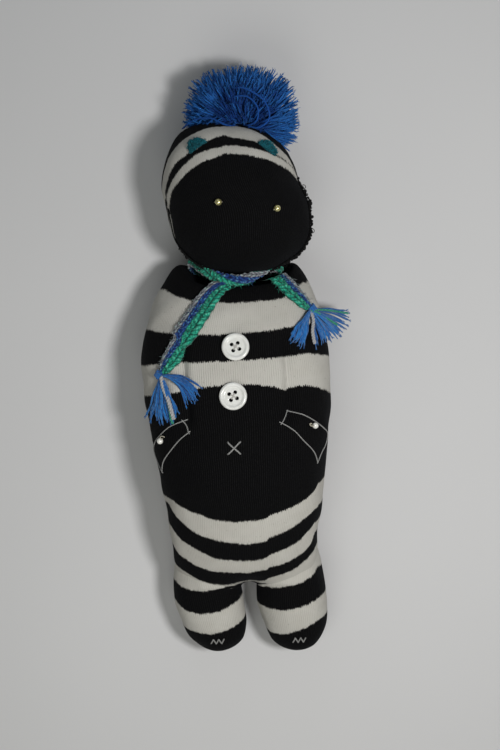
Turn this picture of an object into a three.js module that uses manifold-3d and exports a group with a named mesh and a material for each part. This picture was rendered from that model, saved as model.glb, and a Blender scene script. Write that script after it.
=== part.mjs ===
// A plush zebra sewn from striped socks, lying on its back with a knitted scarf, a yarn mane
// and hands tucked against stitched pockets. Millimetres, +Z up from the surface that it lies
// on, +Y towards the head, +X to its left hand side as seen from above. The origin is the
// middle of the flat patch of its back.

import * as THREE from "three";
import { mergeVertices } from "three/addons/utils/BufferGeometryUtils.js";
import Module from "manifold-3d";

const wasm = await Module();
wasm.setup();

// Cloth and clearances
const coverWall = 1.2; // one layer of stretched sock knit
const seatGap = 0.35; // between pieces that touch on the real toy
const jointGap = 0.5; // between pieces that turn against each other

// Trunk: y, half width, lowest z, highest z, sideways shift, from the shoulders to the crotch
const trunkPower = 2.35;
const trunkStations = [
  [76, 14, 22, 36, -1],
  [74.6, 30, 15, 39, -1.3],
  [70, 38, 8, 42.5, -1.5],
  [60, 44.2, 2, 51, -1.6],
  [50, 48, 0, 57, -1.5],
  [36, 50.8, -0.5, 62, -1.4],
  [18, 52.6, -0.5, 66, -1.2],
  [0, 52.2, -0.5, 69, -0.4],
  [-25, 48.7, -0.5, 72, 0.8],
  [-45, 46.2, -0.5, 71.5, 1],
  [-62, 44.2, -0.5, 68, 0.2],
  [-80, 42, 0.2, 62, -0.8],
  [-92, 41, 1.5, 55.5, -0.8],
  [-101, 39.5, 4, 49, -0.5],
  [-107, 34, 9, 42, -0.3],
  [-110, 24, 15, 35, 0],
];

// Quilted lines that part the arms from the chest
const quiltDegrees = 30; // round from the middle of the front
const quiltHalfDegrees = 10;
const quiltDepth = 2.6;
const quiltTop = 28;
const quiltBottom = -9;
const quiltFade = 8;
const quiltThreadEnd = -4;
const quiltThreadRadius = 0.35;

// Legs: the same columns, from inside the hip to the toe
const legPower = 2.1;
const leftLegStations = [
  [-75.6, 3.5, 19, 23.5, -22.6],
  [-77.8, 7.5, 13.5, 30, -22.6],
  [-81.6, 11.6, 9.6, 36.8, -22.7],
  [-86.5, 14.8, 6.6, 40.4, -22.8],
  [-92, 17.2, 3, 42, -23],
  [-101, 18.8, 0, 42, -23.6],
  [-112, 19.2, -0.5, 40.5, -24.4],
  [-122, 19, -0.5, 38.5, -24],
  [-132, 18.2, -0.5, 36.5, -22.2],
  [-141, 15.8, 1, 33, -20.7],
  [-148, 11.2, 4.5, 27.5, -19.7],
  [-151.5, 5.6, 10, 21.5, -19.3],
];
const rightLegStations = [
  [-75.6, 3.5, 19, 23.5, 22.8],
  [-77.8, 7.5, 13.5, 30, 22.8],
  [-81.6, 11.6, 9.6, 36.8, 22.9],
  [-86.5, 14.8, 6.6, 40.4, 23],
  [-92, 17.2, 3, 42, 23.2],
  [-101, 18.8, 0, 42, 23.8],
  [-112, 19.2, -0.5, 40.5, 25.2],
  [-122, 19.2, -0.5, 38.5, 25.9],
  [-132, 18, -0.5, 36.5, 27],
  [-142, 15.4, 1, 33, 27.6],
  [-150, 10.8, 4.5, 27.5, 27.7],
  [-153.5, 5.4, 10, 21.5, 27.7],
];
const hipY = -101; // the axis that each leg folds about, forwards 35 and back 10 degrees
const hipZ = 21;
const hipRadius = 26.5; // how far from that axis the leg reaches inside the trunk as it folds
const hipHalfWidth = 21.9;
const hipMouth = 4; // the opening that each leg is stuffed through, sewn inside the trunk
const legSlack = 6; // the barrel that it turns in is centred on the leg this far down

// Head: a ball, squarer towards the chin
const headX = 3.2;
const headY = 108;
const headZ = 36.7;
const headHalfWidth = 39.6;
const headHalfLength = 41;
const headHalfDepth = 37.2;
const headLean = -0.07; // sideways shift for each millimetre up the head
const chinPower = 2.4;
const crownPower = 2.05;

// Neck: the gathered ends of the socks, tied into a ball
const neckInset = 1; // how far the ball's middle is inside the head
const neckX = 3.4;
const neckY = headY - headHalfLength + neckInset;
const neckZ = 36;
const neckRadius = 8.5;
const nodDegrees = 8;

// Muzzle seam: the linked toe seam that runs round the lower head
const seamHeight = 46;
const seamRadius = 0.75;
const seamLeftY = headY - 3; // where its ends are
const seamRightY = headY + 10;

// Face
const eyeHalfWidth = 5.9;
const eyeHeight = 4.7;
const eyeThickness = 0.8;
const crownY = headY + headHalfLength;
const chinY = headY - headHalfLength;
const leftEye = { x: headX - 18.8, y: crownY - 13.1, turn: 27 };
const rightEye = { x: headX + 19.2, y: crownY - 16.1, turn: -33 };
const nostrilRadius = 1.85;
const nostrilBore = 0.65;
const leftNostril = { x: headX - 8.2, y: chinY + 38.7 };
const rightNostril = { x: headX + 21.1, y: chinY + 34.2 };

// Mane: a tied tuft of yarn on the crown
const maneX = headX + 5.8;
const maneY = crownY + 8;
const maneZ = 24;
const maneHalfWidth = 34;
const maneHalfLength = 26;
const maneHalfDepth = 22;
const maneTieRadius = 5;
const maneTieThread = 0.8;

// Buttons down the front
const buttonRadius = 7.5;
const buttonThickness = 2.4;
const buttonRim = 1.2;
const buttonWell = 0.7; // how deep the middle is dished
const buttonHoleRadius = 1;
const buttonHoleSpacing = 3.4;
const buttonTurn = -12;
const buttonThreadRadius = 0.4;
const upperButtonY = 28;
const lowerButtonY = 2;
const lowerButtonDegrees = -1.5;

// Sewn details on the belly
const crossThreadRadius = 0.5;
const crossHalfLength = 4.6;
const crossY = -25.8;
const crossDegrees = -2;
const outlineThreadRadius = 0.32;
const pearlRadius = 1.7;
const pearlBore = 0.6;
const pearlThreadRadius = 0.22;
const leftPearl = { degrees: -60.5, y: -21.5, turn: 52 };
const rightPearl = { degrees: 49.5, y: -17, turn: 168 };

// Pocket outlines, chosen by hand on the trunk: degrees round from the front, y
const leftPocket = [
  [-34, -10.5], [-45, -13], [-58, -16.8], [-76, -21.2], [-84, -25.5], [-81, -30],
  [-75, -34.6], [-66, -39.2], [-60.5, -33.8], [-47, -26.2], [-37, -20.4], [-29.5, -16.8],
  [-31.2, -13.4],
];
const rightPocket = [
  [28, -8], [38.5, -10.5], [49, -14.2], [62, -19.2], [73, -23.5], [71.5, -28.8],
  [64.5, -33.2], [58, -37.5], [52, -32.2], [40, -24.8], [31, -18.5], [21.5, -13.8],
  [24.6, -11],
];

// Toe stitches: a small zigzag on each foot
const toeStitchRadius = 0.35;
const toeStitchWidth = 7.5;
const toeStitchHeight = 3;
const toeStitchPoints = 6;
const toeStitchBack = 9; // behind the tip of the toe

// Scarf: its paths are x and y on the chest
const scarfWidth = 13;
const scarfThickness = 2.4;
const scarfCollarInner = 15.5;
const scarfCollarOuter = 27;
const knotHalfWidth = 8;
const knotHalfLength = 5;
const knotHalfDepth = 3.4;
const knotX = 0;
const knotY = neckY - 8.5;
const leftTail = [
  [-3, 62], [-7.5, 60], [-12.9, 54.8], [-18.6, 47.5], [-25.6, 39.2], [-32.4, 31],
  [-38.5, 23], [-42.4, 15.6],
];
const rightTail = [[19, 66], [22.5, 63.5], [27.4, 59.8], [33, 54], [40.5, 48.4]];
const tailNarrow = 8; // width where a tail is bound
const bindingRadius = 3;
const leftBinding = { x: -43, y: 14.4 };
const rightBinding = { x: 41.5, y: 47.6 };
const tasselLength = 27;
const tasselThickness = 4;
const leftTassel = { from: -108, to: -26 }; // directions that the strands spread over
const rightTassel = { from: -136, to: -18 };

// Steps round and along the curved pieces
const trunkOneSide = [0, 11, 20, 30, 40, 52, 64, 76, 90, 105, 120, 135, 150, 165];
const trunkOneSideInside = [0, 20, 30, 40, 64, 90, 120, 150];
const headAround = 26;
const headRings = 11;
const legAround = 20;
const innerShare = 2 / 3; // the insides of the covers and the fillings have fewer
const latheRound = 28;
const ballRound = 24;
const beadRound = 14;
const eyeRound = 20;
const seamSteps = 30;

// Shares used where pieces meet
const bowlReach = 0.92; // how far over the shoulders the head's bowl reaches, of its half width
const sweepReach = 0.98; // the same for the space that the head turns in
const shelfGap = 1.4 * seatGap; // under the collar
const rayStart = 15; // how far outside a cover a seating ray starts
const eyeDip = 8; // the straight edge of an eye bulges this many times less than the round one
const knotSink = 0.8; // how high the knot's middle is, of its half depth
const bindingSink = 0.9;
const clearShare = 0.8; // of the seat gap, under the scarf
const strandEdge = 0.93; // strands droop past this share of the trunk's half width

// Shapes

function smoothTable(rows, y) {
  const sorted = rows[0][0] > rows[rows.length - 1][0] ? [...rows].reverse() : rows;
  const last = sorted.length - 2;
  let i = sorted.findIndex((row, k) => k <= last && y <= sorted[k + 1][0]);
  if (i < 0) i = last;
  const span = sorted[i + 1][0] - sorted[i][0];
  const t = THREE.MathUtils.clamp((y - sorted[i][0]) / span, 0, 1);
  return sorted[i].slice(1).map((_, c) => {
    const value = (k) => sorted[THREE.MathUtils.clamp(k, 0, last + 1)][c + 1];
    const slope = (k) => {
      if (k < 0 || k > last) return null;
      return (value(k + 1) - value(k)) / (sorted[k + 1][0] - sorted[k][0]);
    };
    const tangent = (k) => {
      const before = slope(k - 1) ?? slope(k);
      const after = slope(k) ?? slope(k - 1);
      if (before * after <= 0) return 0;
      return (2 * before * after) / (before + after);
    };
    const a = value(i);
    const b = value(i + 1);
    const h00 = 2 * t ** 3 - 3 * t ** 2 + 1;
    const h10 = t ** 3 - 2 * t ** 2 + t;
    const h11 = t ** 3 - t ** 2;
    return h00 * a + h10 * span * tangent(i) + (1 - h00) * b + h11 * span * tangent(i + 1);
  });
}

function signedPower(value, power) {
  return Math.sign(value) * Math.abs(value) ** (2 / power);
}

function bothSides(oneSide) {
  return [...oneSide, 180, ...oneSide.slice(1).reverse().map((degrees) => 360 - degrees)];
}

function evenRounds(count) {
  const even = (number) => Array.from({ length: number }, (_, i) => (360 * i) / number);
  return { outside: even(count), inside: even(Math.round(count * innerShare)) };
}

// A swelling body along Y: its half width, low and high z and sideways shift at each y
function stationBody(rows, power, rounds, groove = () => 0) {
  const top = rows[0][0];
  const bottom = rows[rows.length - 1][0];
  const at = (y) => {
    const [half, low, high, shift] = smoothTable(rows, y);
    return { half, middle: (low + high) / 2, rise: (high - low) / 2, shift };
  };
  return { at, power, ...rounds, groove, levels: rows.map((row) => row[0]), top, bottom };
}

function quiltGroove(degrees, y) {
  const fromFront = 180 - Math.abs(180 - (((degrees % 360) + 360) % 360));
  const across = 1 - Math.abs(fromFront - quiltDegrees) / quiltHalfDegrees;
  const below = THREE.MathUtils.smoothstep(y, quiltBottom - quiltFade, quiltBottom);
  const above = 1 - THREE.MathUtils.smoothstep(y, quiltTop, quiltTop + quiltFade);
  return across > 0 ? -quiltDepth * across ** 2 * below * above : 0;
}

const trunkRounds = { outside: bothSides(trunkOneSide), inside: bothSides(trunkOneSideInside) };
const trunk = stationBody(trunkStations, trunkPower, trunkRounds, quiltGroove);
const leftLegBody = stationBody(leftLegStations, legPower, evenRounds(legAround));
const rightLegBody = stationBody(rightLegStations, legPower, evenRounds(legAround));

function headBody() {
  const top = headY + headHalfLength;
  const bottom = headY - headHalfLength;
  const at = (y) => {
    const share = THREE.MathUtils.clamp((y - headY) / headHalfLength, -1, 1);
    const power = share < 0 ? chinPower : crownPower;
    const size = (1 - Math.abs(share) ** power) ** (1 / power);
    const shift = headX + headLean * (y - headY);
    return { half: headHalfWidth * size, middle: headZ, rise: headHalfDepth * size, shift };
  };
  const turns = Array.from({ length: headRings }, (_, k) => (Math.PI * (k + 0.4)) / (headRings - 0.2));
  const levels = turns.map((turn) => headY + headHalfLength * Math.cos(turn));
  return { at, power: 2, ...evenRounds(headAround), groove: () => 0, levels, top, bottom };
}
const head = headBody();

// A point of a body's skin, so many degrees round from the front, lifted off it or sunk in it
function skinPoint(body, degrees, y, lift = 0) {
  const { half, middle, rise, shift } = body.at(y);
  const turn = THREE.MathUtils.degToRad(degrees);
  const out = lift + body.groove(degrees, y);
  return new THREE.Vector3(
    shift + Math.max(half + out, 0.2) * signedPower(Math.sin(turn), body.power),
    y,
    middle + Math.max(rise + out, 0.2) * signedPower(Math.cos(turn), body.power),
  );
}

function skinNormal(body, degrees, y) {
  const round = skinPoint(body, degrees + 0.5, y).sub(skinPoint(body, degrees - 0.5, y));
  const along = skinPoint(body, degrees, y + 0.5).sub(skinPoint(body, degrees, y - 0.5));
  return round.cross(along).normalize();
}

// The degrees round a body at which a nearby point lies
function degreesOf(body, point) {
  const { half, middle, rise, shift } = body.at(point.y);
  const across = signedPower((point.x - shift) / half, 4 / body.power);
  const up = signedPower((point.z - middle) / rise, 4 / body.power);
  return THREE.MathUtils.radToDeg(Math.atan2(across, up));
}

function degreesAtX(body, x, y) {
  const { half, shift } = body.at(y);
  const share = THREE.MathUtils.clamp((x - shift) / half, -1, 1);
  return THREE.MathUtils.radToDeg(Math.asin(signedPower(share, 4 / body.power)));
}

// A closed surface through rings of points, with a fan over each end
function loft(rings) {
  const around = rings[0].length;
  const points = rings.flat().map((point) => point.toArray());
  const index = [];
  for (let r = 0; r + 1 < rings.length; r++) {
    for (let i = 0; i < around; i++) {
      const a = r * around + i;
      const b = r * around + ((i + 1) % around);
      index.push(a, b, b + around, a, b + around, a + around);
    }
  }
  for (const first of [0, (rings.length - 1) * around]) {
    const ring = rings[first / around];
    const centre = ring.reduce((sum, p) => sum.clone().add(p)).divideScalar(around);
    points.push(centre.toArray());
    for (let i = 0; i < around; i++) {
      const a = first + i;
      const b = first + ((i + 1) % around);
      index.push(...(first ? [a, b, points.length - 1] : [b, a, points.length - 1]));
    }
  }
  const geometry = new THREE.BufferGeometry();
  geometry.setAttribute("position", new THREE.Float32BufferAttribute(points.flat(), 3));
  geometry.setIndex(volumeOf(points, index) < 0 ? [...index].reverse() : index);
  return geometry;
}

function volumeOf(points, index) {
  let six = 0;
  for (let i = 0; i < index.length; i += 3) {
    const [a, b, c] = [0, 1, 2].map((k) => new THREE.Vector3(...points[index[i + k]]));
    six += a.dot(b.cross(c));
  }
  return six;
}

function bodyLoft(body, lift = 0) {
  const middle = (body.top + body.bottom) / 2;
  const stretch = 1 + (2 * lift) / (body.top - body.bottom);
  const round = lift < 0 ? body.inside : body.outside;
  const rings = body.levels.map((y) =>
    round.map((degrees) => {
      const point = skinPoint(body, degrees, y, lift);
      point.y = middle + (y - middle) * stretch;
      return point;
    }),
  );
  return loft(rings);
}

// Booleans

function solid(geometry) {
  const bare = geometry.clone();
  bare.deleteAttribute("normal");
  bare.deleteAttribute("uv");
  const merged = mergeVertices(bare, 1e-4);
  return new wasm.Manifold(
    new wasm.Mesh({
      numProp: 3,
      vertProperties: new Float32Array(merged.attributes.position.array),
      triVerts: new Uint32Array(merged.index.array),
    }),
  );
}

function geometryOf(manifold) {
  const mesh = manifold.getMesh();
  const geometry = new THREE.BufferGeometry();
  geometry.setAttribute("position", new THREE.BufferAttribute(mesh.vertProperties, 3));
  geometry.setIndex(new THREE.BufferAttribute(mesh.triVerts, 1));
  return geometry;
}

function largest(manifold) {
  return manifold.decompose().sort((a, b) => b.volume() - a.volume())[0];
}

function joined(...geometries) {
  return geometries.map(solid).reduce((all, one) => all.add(one));
}

function ball(radius, x, y, z, round = ballRound) {
  return solid(new THREE.SphereGeometry(radius, round, round / 2).translate(x, y, z));
}

const floorDepth = 20;
const belowFloor = solid(new THREE.BoxGeometry(400, 600, floorDepth).translate(0, 0, -floorDepth / 2));

function neckBall(clearance) {
  return ball(neckRadius + clearance, neckX, neckY, neckZ);
}

// How far up the head's underside is at a distance from the neck's axis, nodding included
function headUnderside(radius) {
  const share = Math.min(radius / headHalfWidth, 1);
  const size = (1 - share ** chinPower) ** (1 / chinPower);
  const nod = radius * Math.sin(THREE.MathUtils.degToRad(nodDegrees));
  return headY - headHalfLength * size - nod - jointGap - seatGap - 2 * seamRadius;
}

// The space over the shoulders: a bowl for the head, a step for the collar and a well for
// the neck, turned about the neck's axis
function shoulderSpace(clearance, withNeck) {
  const reach = headHalfWidth * bowlReach;
  const step = scarfCollarOuter + seatGap + clearance;
  const shelf = (radius) => headUnderside(radius) - scarfThickness - shelfGap - clearance;
  const well = neckRadius + seatGap + clearance;
  const points = [];
  if (withNeck) {
    const rim = Math.acos((neckY - shelf(well)) / well);
    for (let k = 0; k < 5; k++) {
      points.push([well * Math.sin((rim * k) / 5), neckY - well * Math.cos((rim * k) / 5)]);
    }
    points.push([well * Math.sin(rim), shelf(well)]);
  } else {
    points.push([0, shelf(well)], [well, shelf(well)]);
  }
  for (const share of [0.33, 0.66, 1]) {
    const radius = THREE.MathUtils.lerp(well, step, share);
    points.push([radius, shelf(radius)]);
  }
  for (const share of [0, 0.5, 1]) {
    const radius = THREE.MathUtils.lerp(step, reach, share);
    points.push([radius, headUnderside(radius) - clearance]);
  }
  points.push([reach, headY], [0, headY]);
  const profile = points.map(([radius, y]) => new THREE.Vector2(radius, y));
  return solid(new THREE.LatheGeometry(profile, latheRound).translate(neckX, 0, neckZ));
}

// The space that the head turns and nods in
function headSweep() {
  const reach = headHalfWidth * sweepReach;
  const radii = Array.from({ length: 9 }, (_, k) => (reach * k) / 8);
  const profile = radii.map((radius) => new THREE.Vector2(radius, headUnderside(radius)));
  profile.push(new THREE.Vector2(reach, headY), new THREE.Vector2(0, headY));
  return solid(new THREE.LatheGeometry(profile, latheRound).translate(neckX, 0, neckZ));
}
const headSpace = headSweep();

// The scarf's collar lies on the step
function collarRing(clearance) {
  const inner = scarfCollarInner - clearance;
  const outer = scarfCollarOuter + clearance;
  const radii = Array.from({ length: 4 }, (_, k) => inner + ((outer - inner) * k) / 3);
  const top = radii.map((radius) => new THREE.Vector2(radius, headUnderside(radius) + clearance));
  const bottom = radii.map(
    (radius) => new THREE.Vector2(radius, headUnderside(radius) - scarfThickness - clearance),
  );
  const profile = [...bottom, ...top.reverse()];
  profile.push(profile[0].clone());
  return solid(new THREE.LatheGeometry(profile, latheRound).translate(neckX, 0, neckZ));
}

// The space that the top of a leg turns in: a barrel about the hip's axis
function hipSpace(body, clearance) {
  const half = hipHalfWidth + clearance;
  const radius = hipRadius + clearance;
  const profile = Array.from({ length: 11 }, (_, k) => {
    const share = Math.cos((Math.PI * k) / 10);
    const size = (1 - Math.abs(share) ** legPower) ** (1 / legPower);
    return new THREE.Vector2(Math.abs(share) === 1 ? 0 : radius * size, -half * share);
  });
  const barrel = new THREE.LatheGeometry(profile, ballRound).rotateZ(-Math.PI / 2);
  return solid(barrel.translate(body.at(hipY - legSlack).shift, hipY, hipZ));
}

function trunkSolid(inset, withNeck) {
  return solid(bodyLoft(trunk, -inset))
    .subtract(shoulderSpace(inset, withNeck))
    .subtract(hipSpace(leftLegBody, inset + jointGap))
    .subtract(hipSpace(rightLegBody, inset + jointGap))
    .subtract(belowFloor);
}

// Pieces

const zebra = new THREE.Group();
zebra.name = "plush_zebra";

function fabric(color) {
  return new THREE.MeshStandardMaterial({ color, roughness: 0.95, metalness: 0 });
}

const blackKnit = fabric(0x16181a);
const whiteKnit = fabric(0xd8d6d0);
const fill = fabric(0xefece4);
const blueYarn = fabric(0x2a5fa8);
const greenKnit = fabric(0x2fa184);
const tealFelt = fabric(0x0f6f7c);
const greyThread = fabric(0x9a9c9c);
const whiteThread = fabric(0xe4e0d6);
const gloss = new THREE.MeshStandardMaterial({ color: 0xf2f1ee, roughness: 0.2, metalness: 0 });
const gold = new THREE.MeshStandardMaterial({ color: 0xcfc58a, roughness: 0.25, metalness: 0.8 });

function add(name, geometry, material) {
  const mesh = new THREE.Mesh(geometry, material);
  mesh.name = name;
  zebra.add(mesh);
  return mesh;
}

// Where a cover's own faces lie under a point beside it, looking in along a normal
const ray = new THREE.Raycaster();
function touch(cover, point, normal) {
  ray.set(point.clone().addScaledVector(normal, rayStart), normal.clone().negate());
  return ray.intersectObject(cover, false)[0].point;
}

// A point lifted off a cover's faces
function onCover(cover, degrees, y, lift) {
  const normal = skinNormal(cover.body, degrees, y);
  return touch(cover.mesh, skinPoint(cover.body, degrees, y), normal).addScaledVector(normal, lift);
}

// Stands a piece made along +Z on a cover, turned about the skin's normal: it rests on the
// highest of the faces under its foot
function seat(mesh, cover, degrees, y, turn, foot) {
  const normal = skinNormal(cover.body, degrees, y);
  const base = skinPoint(cover.body, degrees, y);
  const side = new THREE.Vector3(1, 0, 0).addScaledVector(normal, -normal.x).normalize();
  const up = normal.clone().cross(side);
  let height = -Infinity;
  for (const share of [0, 0.5, 1]) {
    for (let k = 0; k < 8; k++) {
      const point = base.clone().addScaledVector(side, foot * share * Math.cos((Math.PI * k) / 4));
      point.addScaledVector(up, foot * share * Math.sin((Math.PI * k) / 4));
      height = Math.max(height, touch(cover.mesh, point, normal).sub(base).dot(normal));
    }
  }
  mesh.quaternion.setFromRotationMatrix(new THREE.Matrix4().makeBasis(side, up, normal));
  mesh.rotateZ(THREE.MathUtils.degToRad(turn));
  mesh.position.copy(base).addScaledVector(normal, height + seatGap);
}

function thread(points, radius, sides = 5, steps = points.length * 2) {
  const path = new THREE.CatmullRomCurve3(points);
  const outline = new THREE.Shape();
  for (let i = 0; i < sides; i++) {
    const turn = (2 * Math.PI * i) / sides;
    const corner = [radius * Math.cos(turn), radius * Math.sin(turn)];
    if (i) outline.lineTo(...corner);
    else outline.moveTo(...corner);
  }
  return new THREE.ExtrudeGeometry(outline, { steps, extrudePath: path });
}

// Trunk: the sock cover, its filling, and the fillings of the quilted arms

const trunkCover = trunkSolid(0, true).subtract(trunkSolid(coverWall, false));
const trunkSkin = { body: trunk, mesh: add("trunk_cover", geometryOf(largest(trunkCover)), blackKnit) };
const trunkFill = trunkSolid(coverWall + seatGap, true);

function armZone(side, clearance) {
  const inner = skinPoint(trunk, quiltDegrees, (quiltTop + quiltBottom) / 2).x - clearance;
  const width = trunkStations[6][1];
  const height = quiltTop - quiltBottom + 2 * clearance;
  const box = new THREE.BoxGeometry(width, height, 200);
  const middle = (quiltTop + quiltBottom) / 2;
  return solid(box.translate(side * (inner + width / 2), middle, 0));
}

add(
  "trunk_stuffing",
  geometryOf(largest(trunkFill.subtract(armZone(-1, seatGap)).subtract(armZone(1, seatGap)))),
  fill,
);
for (const [name, side] of [["left_arm_stuffing", -1], ["right_arm_stuffing", 1]]) {
  add(name, geometryOf(largest(trunkFill.intersect(armZone(side, 0)))), fill);
}

function quilting(side, clearance) {
  const lift = seatGap + 1.5 * quiltThreadRadius;
  const points = Array.from({ length: 11 }, (_, k) => {
    const y = THREE.MathUtils.lerp(quiltTop, quiltThreadEnd, k / 10);
    return onCover(trunkSkin, side * quiltDegrees, y, lift);
  });
  return thread(points, quiltThreadRadius + clearance);
}
add("left_arm_quilting", quilting(-1, 0), greyThread);
add("right_arm_quilting", quilting(1, 0), greyThread);
const quiltingClear = joined(quilting(-1, seatGap), quilting(1, seatGap));

// Legs

for (const [side, body] of [["left", leftLegBody], ["right", rightLegBody]]) {
  const shape = (inset) => solid(bodyLoft(body, -inset)).subtract(belowFloor);
  const mouth = ball(hipMouth, body.at(body.top).shift, body.top, hipZ, 12);
  const cover = shape(0).subtract(shape(coverWall)).subtract(mouth);
  const skin = { body, mesh: add(`${side}_leg_cover`, geometryOf(largest(cover)), blackKnit) };
  add(`${side}_leg_stuffing`, geometryOf(largest(shape(coverWall + seatGap).subtract(mouth))), fill);

  const start = new THREE.Vector2(body.at(body.bottom).shift, body.bottom + toeStitchBack);
  const points = Array.from({ length: toeStitchPoints }, (_, k) => {
    const x = start.x + toeStitchWidth * (k / (toeStitchPoints - 1) - 0.5);
    const y = start.y + toeStitchHeight * (k % 2 ? 0.5 : -0.5);
    return onCover(skin, degreesAtX(body, x, y), y, seatGap + 1.5 * toeStitchRadius);
  });
  add(`${side}_toe_stitch`, thread(points, toeStitchRadius), greyThread);
}

// Neck, with the thread that gathers it

const neck = new THREE.SphereGeometry(neckRadius, 20, 12);
add("neck_gather", neck.rotateX(Math.PI / 2).translate(neckX, neckY, neckZ), blackKnit);

// Head

function headSolid(inset) {
  return solid(bodyLoft(head, -inset)).subtract(belowFloor);
}

const headHole = neckBall(jointGap);
const headCover = headSolid(0).subtract(headSolid(coverWall)).subtract(headHole);
const headSkin = { body: head, mesh: add("head_cover", geometryOf(largest(headCover)), blackKnit) };
const headFill = headSolid(coverWall + seatGap).subtract(neckBall(jointGap + coverWall));
add("head_stuffing", geometryOf(largest(headFill)), fill);

// The toe seam's points: where the head's skin is at the seam's height, from the left round
// the chin to the right
function seamPoints() {
  const level = (seamHeight - headZ) / headHalfDepth;
  const chin = headY - headHalfLength * (1 - level ** chinPower) ** (1 / chinPower);
  const left = Math.acos((headY - seamLeftY) / (headY - chin));
  const right = Math.acos((headY - seamRightY) / (headY - chin));
  return Array.from({ length: seamSteps + 1 }, (_, k) => {
    const turn = -left + ((left + right) * k) / seamSteps;
    const y = headY - (headY - chin) * Math.cos(turn);
    const size = head.at(y).rise / headHalfDepth;
    const across = Math.sign(turn) * Math.sqrt(Math.max(size ** 2 - level ** 2, 0));
    const degrees = THREE.MathUtils.radToDeg(Math.atan2(across, level));
    return onCover(headSkin, degrees, y, seatGap + 1.3 * seamRadius);
  });
}
add("muzzle_seam", thread(seamPoints(), seamRadius, 6, 40), blackKnit);

// Felt eyes: half discs that follow the brow

function eyePatch({ x, y, turn }) {
  const tilt = THREE.MathUtils.degToRad(turn);
  const ring = (share, lift) =>
    Array.from({ length: eyeRound }, (_, k) => {
      const round = (2 * Math.PI * k) / eyeRound;
      const across = share * eyeHalfWidth * Math.cos(round);
      const rise = Math.sin(round) > 0 ? eyeHeight : eyeHeight / eyeDip;
      const up = share * rise * Math.sin(round) + eyeHeight * 0.3 * (1 - share);
      const px = x + across * Math.cos(tilt) - up * Math.sin(tilt);
      const py = y + across * Math.sin(tilt) + up * Math.cos(tilt);
      return onCover(headSkin, degreesAtX(head, px, py), py, lift);
    });
  const low = 1.4 * seatGap;
  const high = low + eyeThickness;
  const under = [0.05, 0.5, 1].map((share) => ring(share, low));
  const over = [1, 0.5, 0.05].map((share) => ring(share, high));
  return loft([...under, ...over]);
}
add("left_eye", eyePatch(leftEye), tealFelt);
add("right_eye", eyePatch(rightEye), tealFelt);

// Beads with a bore along X, and the threads that hold them down

function bead(radius, bore) {
  const start = Math.asin(bore / radius);
  const profile = Array.from({ length: 8 }, (_, k) => {
    const turn = start + ((Math.PI - 2 * start) * k) / 7;
    return new THREE.Vector2(radius * Math.sin(turn), -radius * Math.cos(turn));
  });
  profile.push(profile[0].clone());
  const geometry = new THREE.LatheGeometry(profile, beadRound);
  return geometry.rotateZ(Math.PI / 2).translate(0, 0, radius);
}

function beadThread(radius, threadRadius, tail) {
  const out = radius + 2 * threadRadius;
  const points = [
    [-out - 1.2, threadRadius],
    [-out - 0.7, radius * 0.6],
    [-out, radius],
    [out, radius],
    [out + 0.7, radius * 0.6],
    [out + 1.2 + tail, threadRadius * 1.5],
  ];
  return thread(points.map(([x, z]) => new THREE.Vector3(x, 0, z)), threadRadius, 5, 16);
}

function sewnBead(name, cover, degrees, y, turn, { material, radius, bore, threadRadius, tail }) {
  seat(add(name, bead(radius, bore), material), cover, degrees, y, turn, radius / 2);
  const holder = add(`${name}_thread`, beadThread(radius, threadRadius, tail), whiteThread);
  seat(holder, cover, degrees, y, turn, radius / 2);
}

const nostril = { material: gold, radius: nostrilRadius, bore: nostrilBore, threadRadius: 0.25, tail: 0 };
const pearl = {
  material: gloss, radius: pearlRadius, bore: pearlBore, threadRadius: pearlThreadRadius, tail: 2.4,
};
for (const [name, place] of [["left_nostril", leftNostril], ["right_nostril", rightNostril]]) {
  sewnBead(name, headSkin, degreesAtX(head, place.x, place.y), place.y, 0, nostril);
}
for (const [name, place] of [["left_pocket_pearl", leftPearl], ["right_pocket_pearl", rightPearl]]) {
  sewnBead(name, trunkSkin, place.degrees, place.y, place.turn, pearl);
}

// Mane: the tuft hugs the crown, and its tie binds it to the head

function ellipsoid(x, y, z, a, b, c, round = 20) {
  return new THREE.SphereGeometry(1, round, round / 2).scale(a, b, c).translate(x, y, z);
}
const maneTuft = solid(ellipsoid(maneX, maneY, maneZ, maneHalfWidth, maneHalfLength, maneHalfDepth));
const maneTieZone = solid(
  new THREE.TorusGeometry(maneTieRadius, maneTieThread + seatGap, 8, 18)
    .rotateX(Math.PI / 2)
    .translate(maneX, crownY + maneTieThread + seatGap, headZ),
);
const maneTie = new THREE.TorusGeometry(maneTieRadius, maneTieThread, 6, 18).rotateX(Math.PI / 2);
const maneTieMesh = add("mane_tie", maneTie, blueYarn);
maneTieMesh.position.set(maneX, crownY + maneTieThread + seatGap, headZ);
const maneOnHead = maneTuft.subtract(solid(bodyLoft(head, seatGap))).subtract(maneTieZone);
add("mane_tuft", geometryOf(largest(maneOnHead)), blueYarn);

// Buttons, dished with a raised rim and four holes, and their crossed threads

function buttonGeometry() {
  const edge = 0.5;
  const profile = [
    [0, 0], [buttonRadius - edge, 0], [buttonRadius, edge], [buttonRadius, buttonThickness - edge],
    [buttonRadius - edge, buttonThickness], [buttonRadius - buttonRim, buttonThickness],
    [buttonRadius - 2 * buttonRim, buttonThickness - buttonWell], [0, buttonThickness - buttonWell],
  ].map(([radius, height]) => new THREE.Vector2(radius, height));
  let disc = solid(new THREE.LatheGeometry(profile, latheRound));
  for (const x of [-1, 1]) {
    for (const z of [-1, 1]) {
      const hole = new THREE.CylinderGeometry(buttonHoleRadius, buttonHoleRadius, 10, 10);
      const half = buttonHoleSpacing / 2;
      disc = disc.subtract(solid(hole.translate(x * half, 0, z * half)));
    }
  }
  return geometryOf(disc).rotateX(Math.PI / 2);
}

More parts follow.
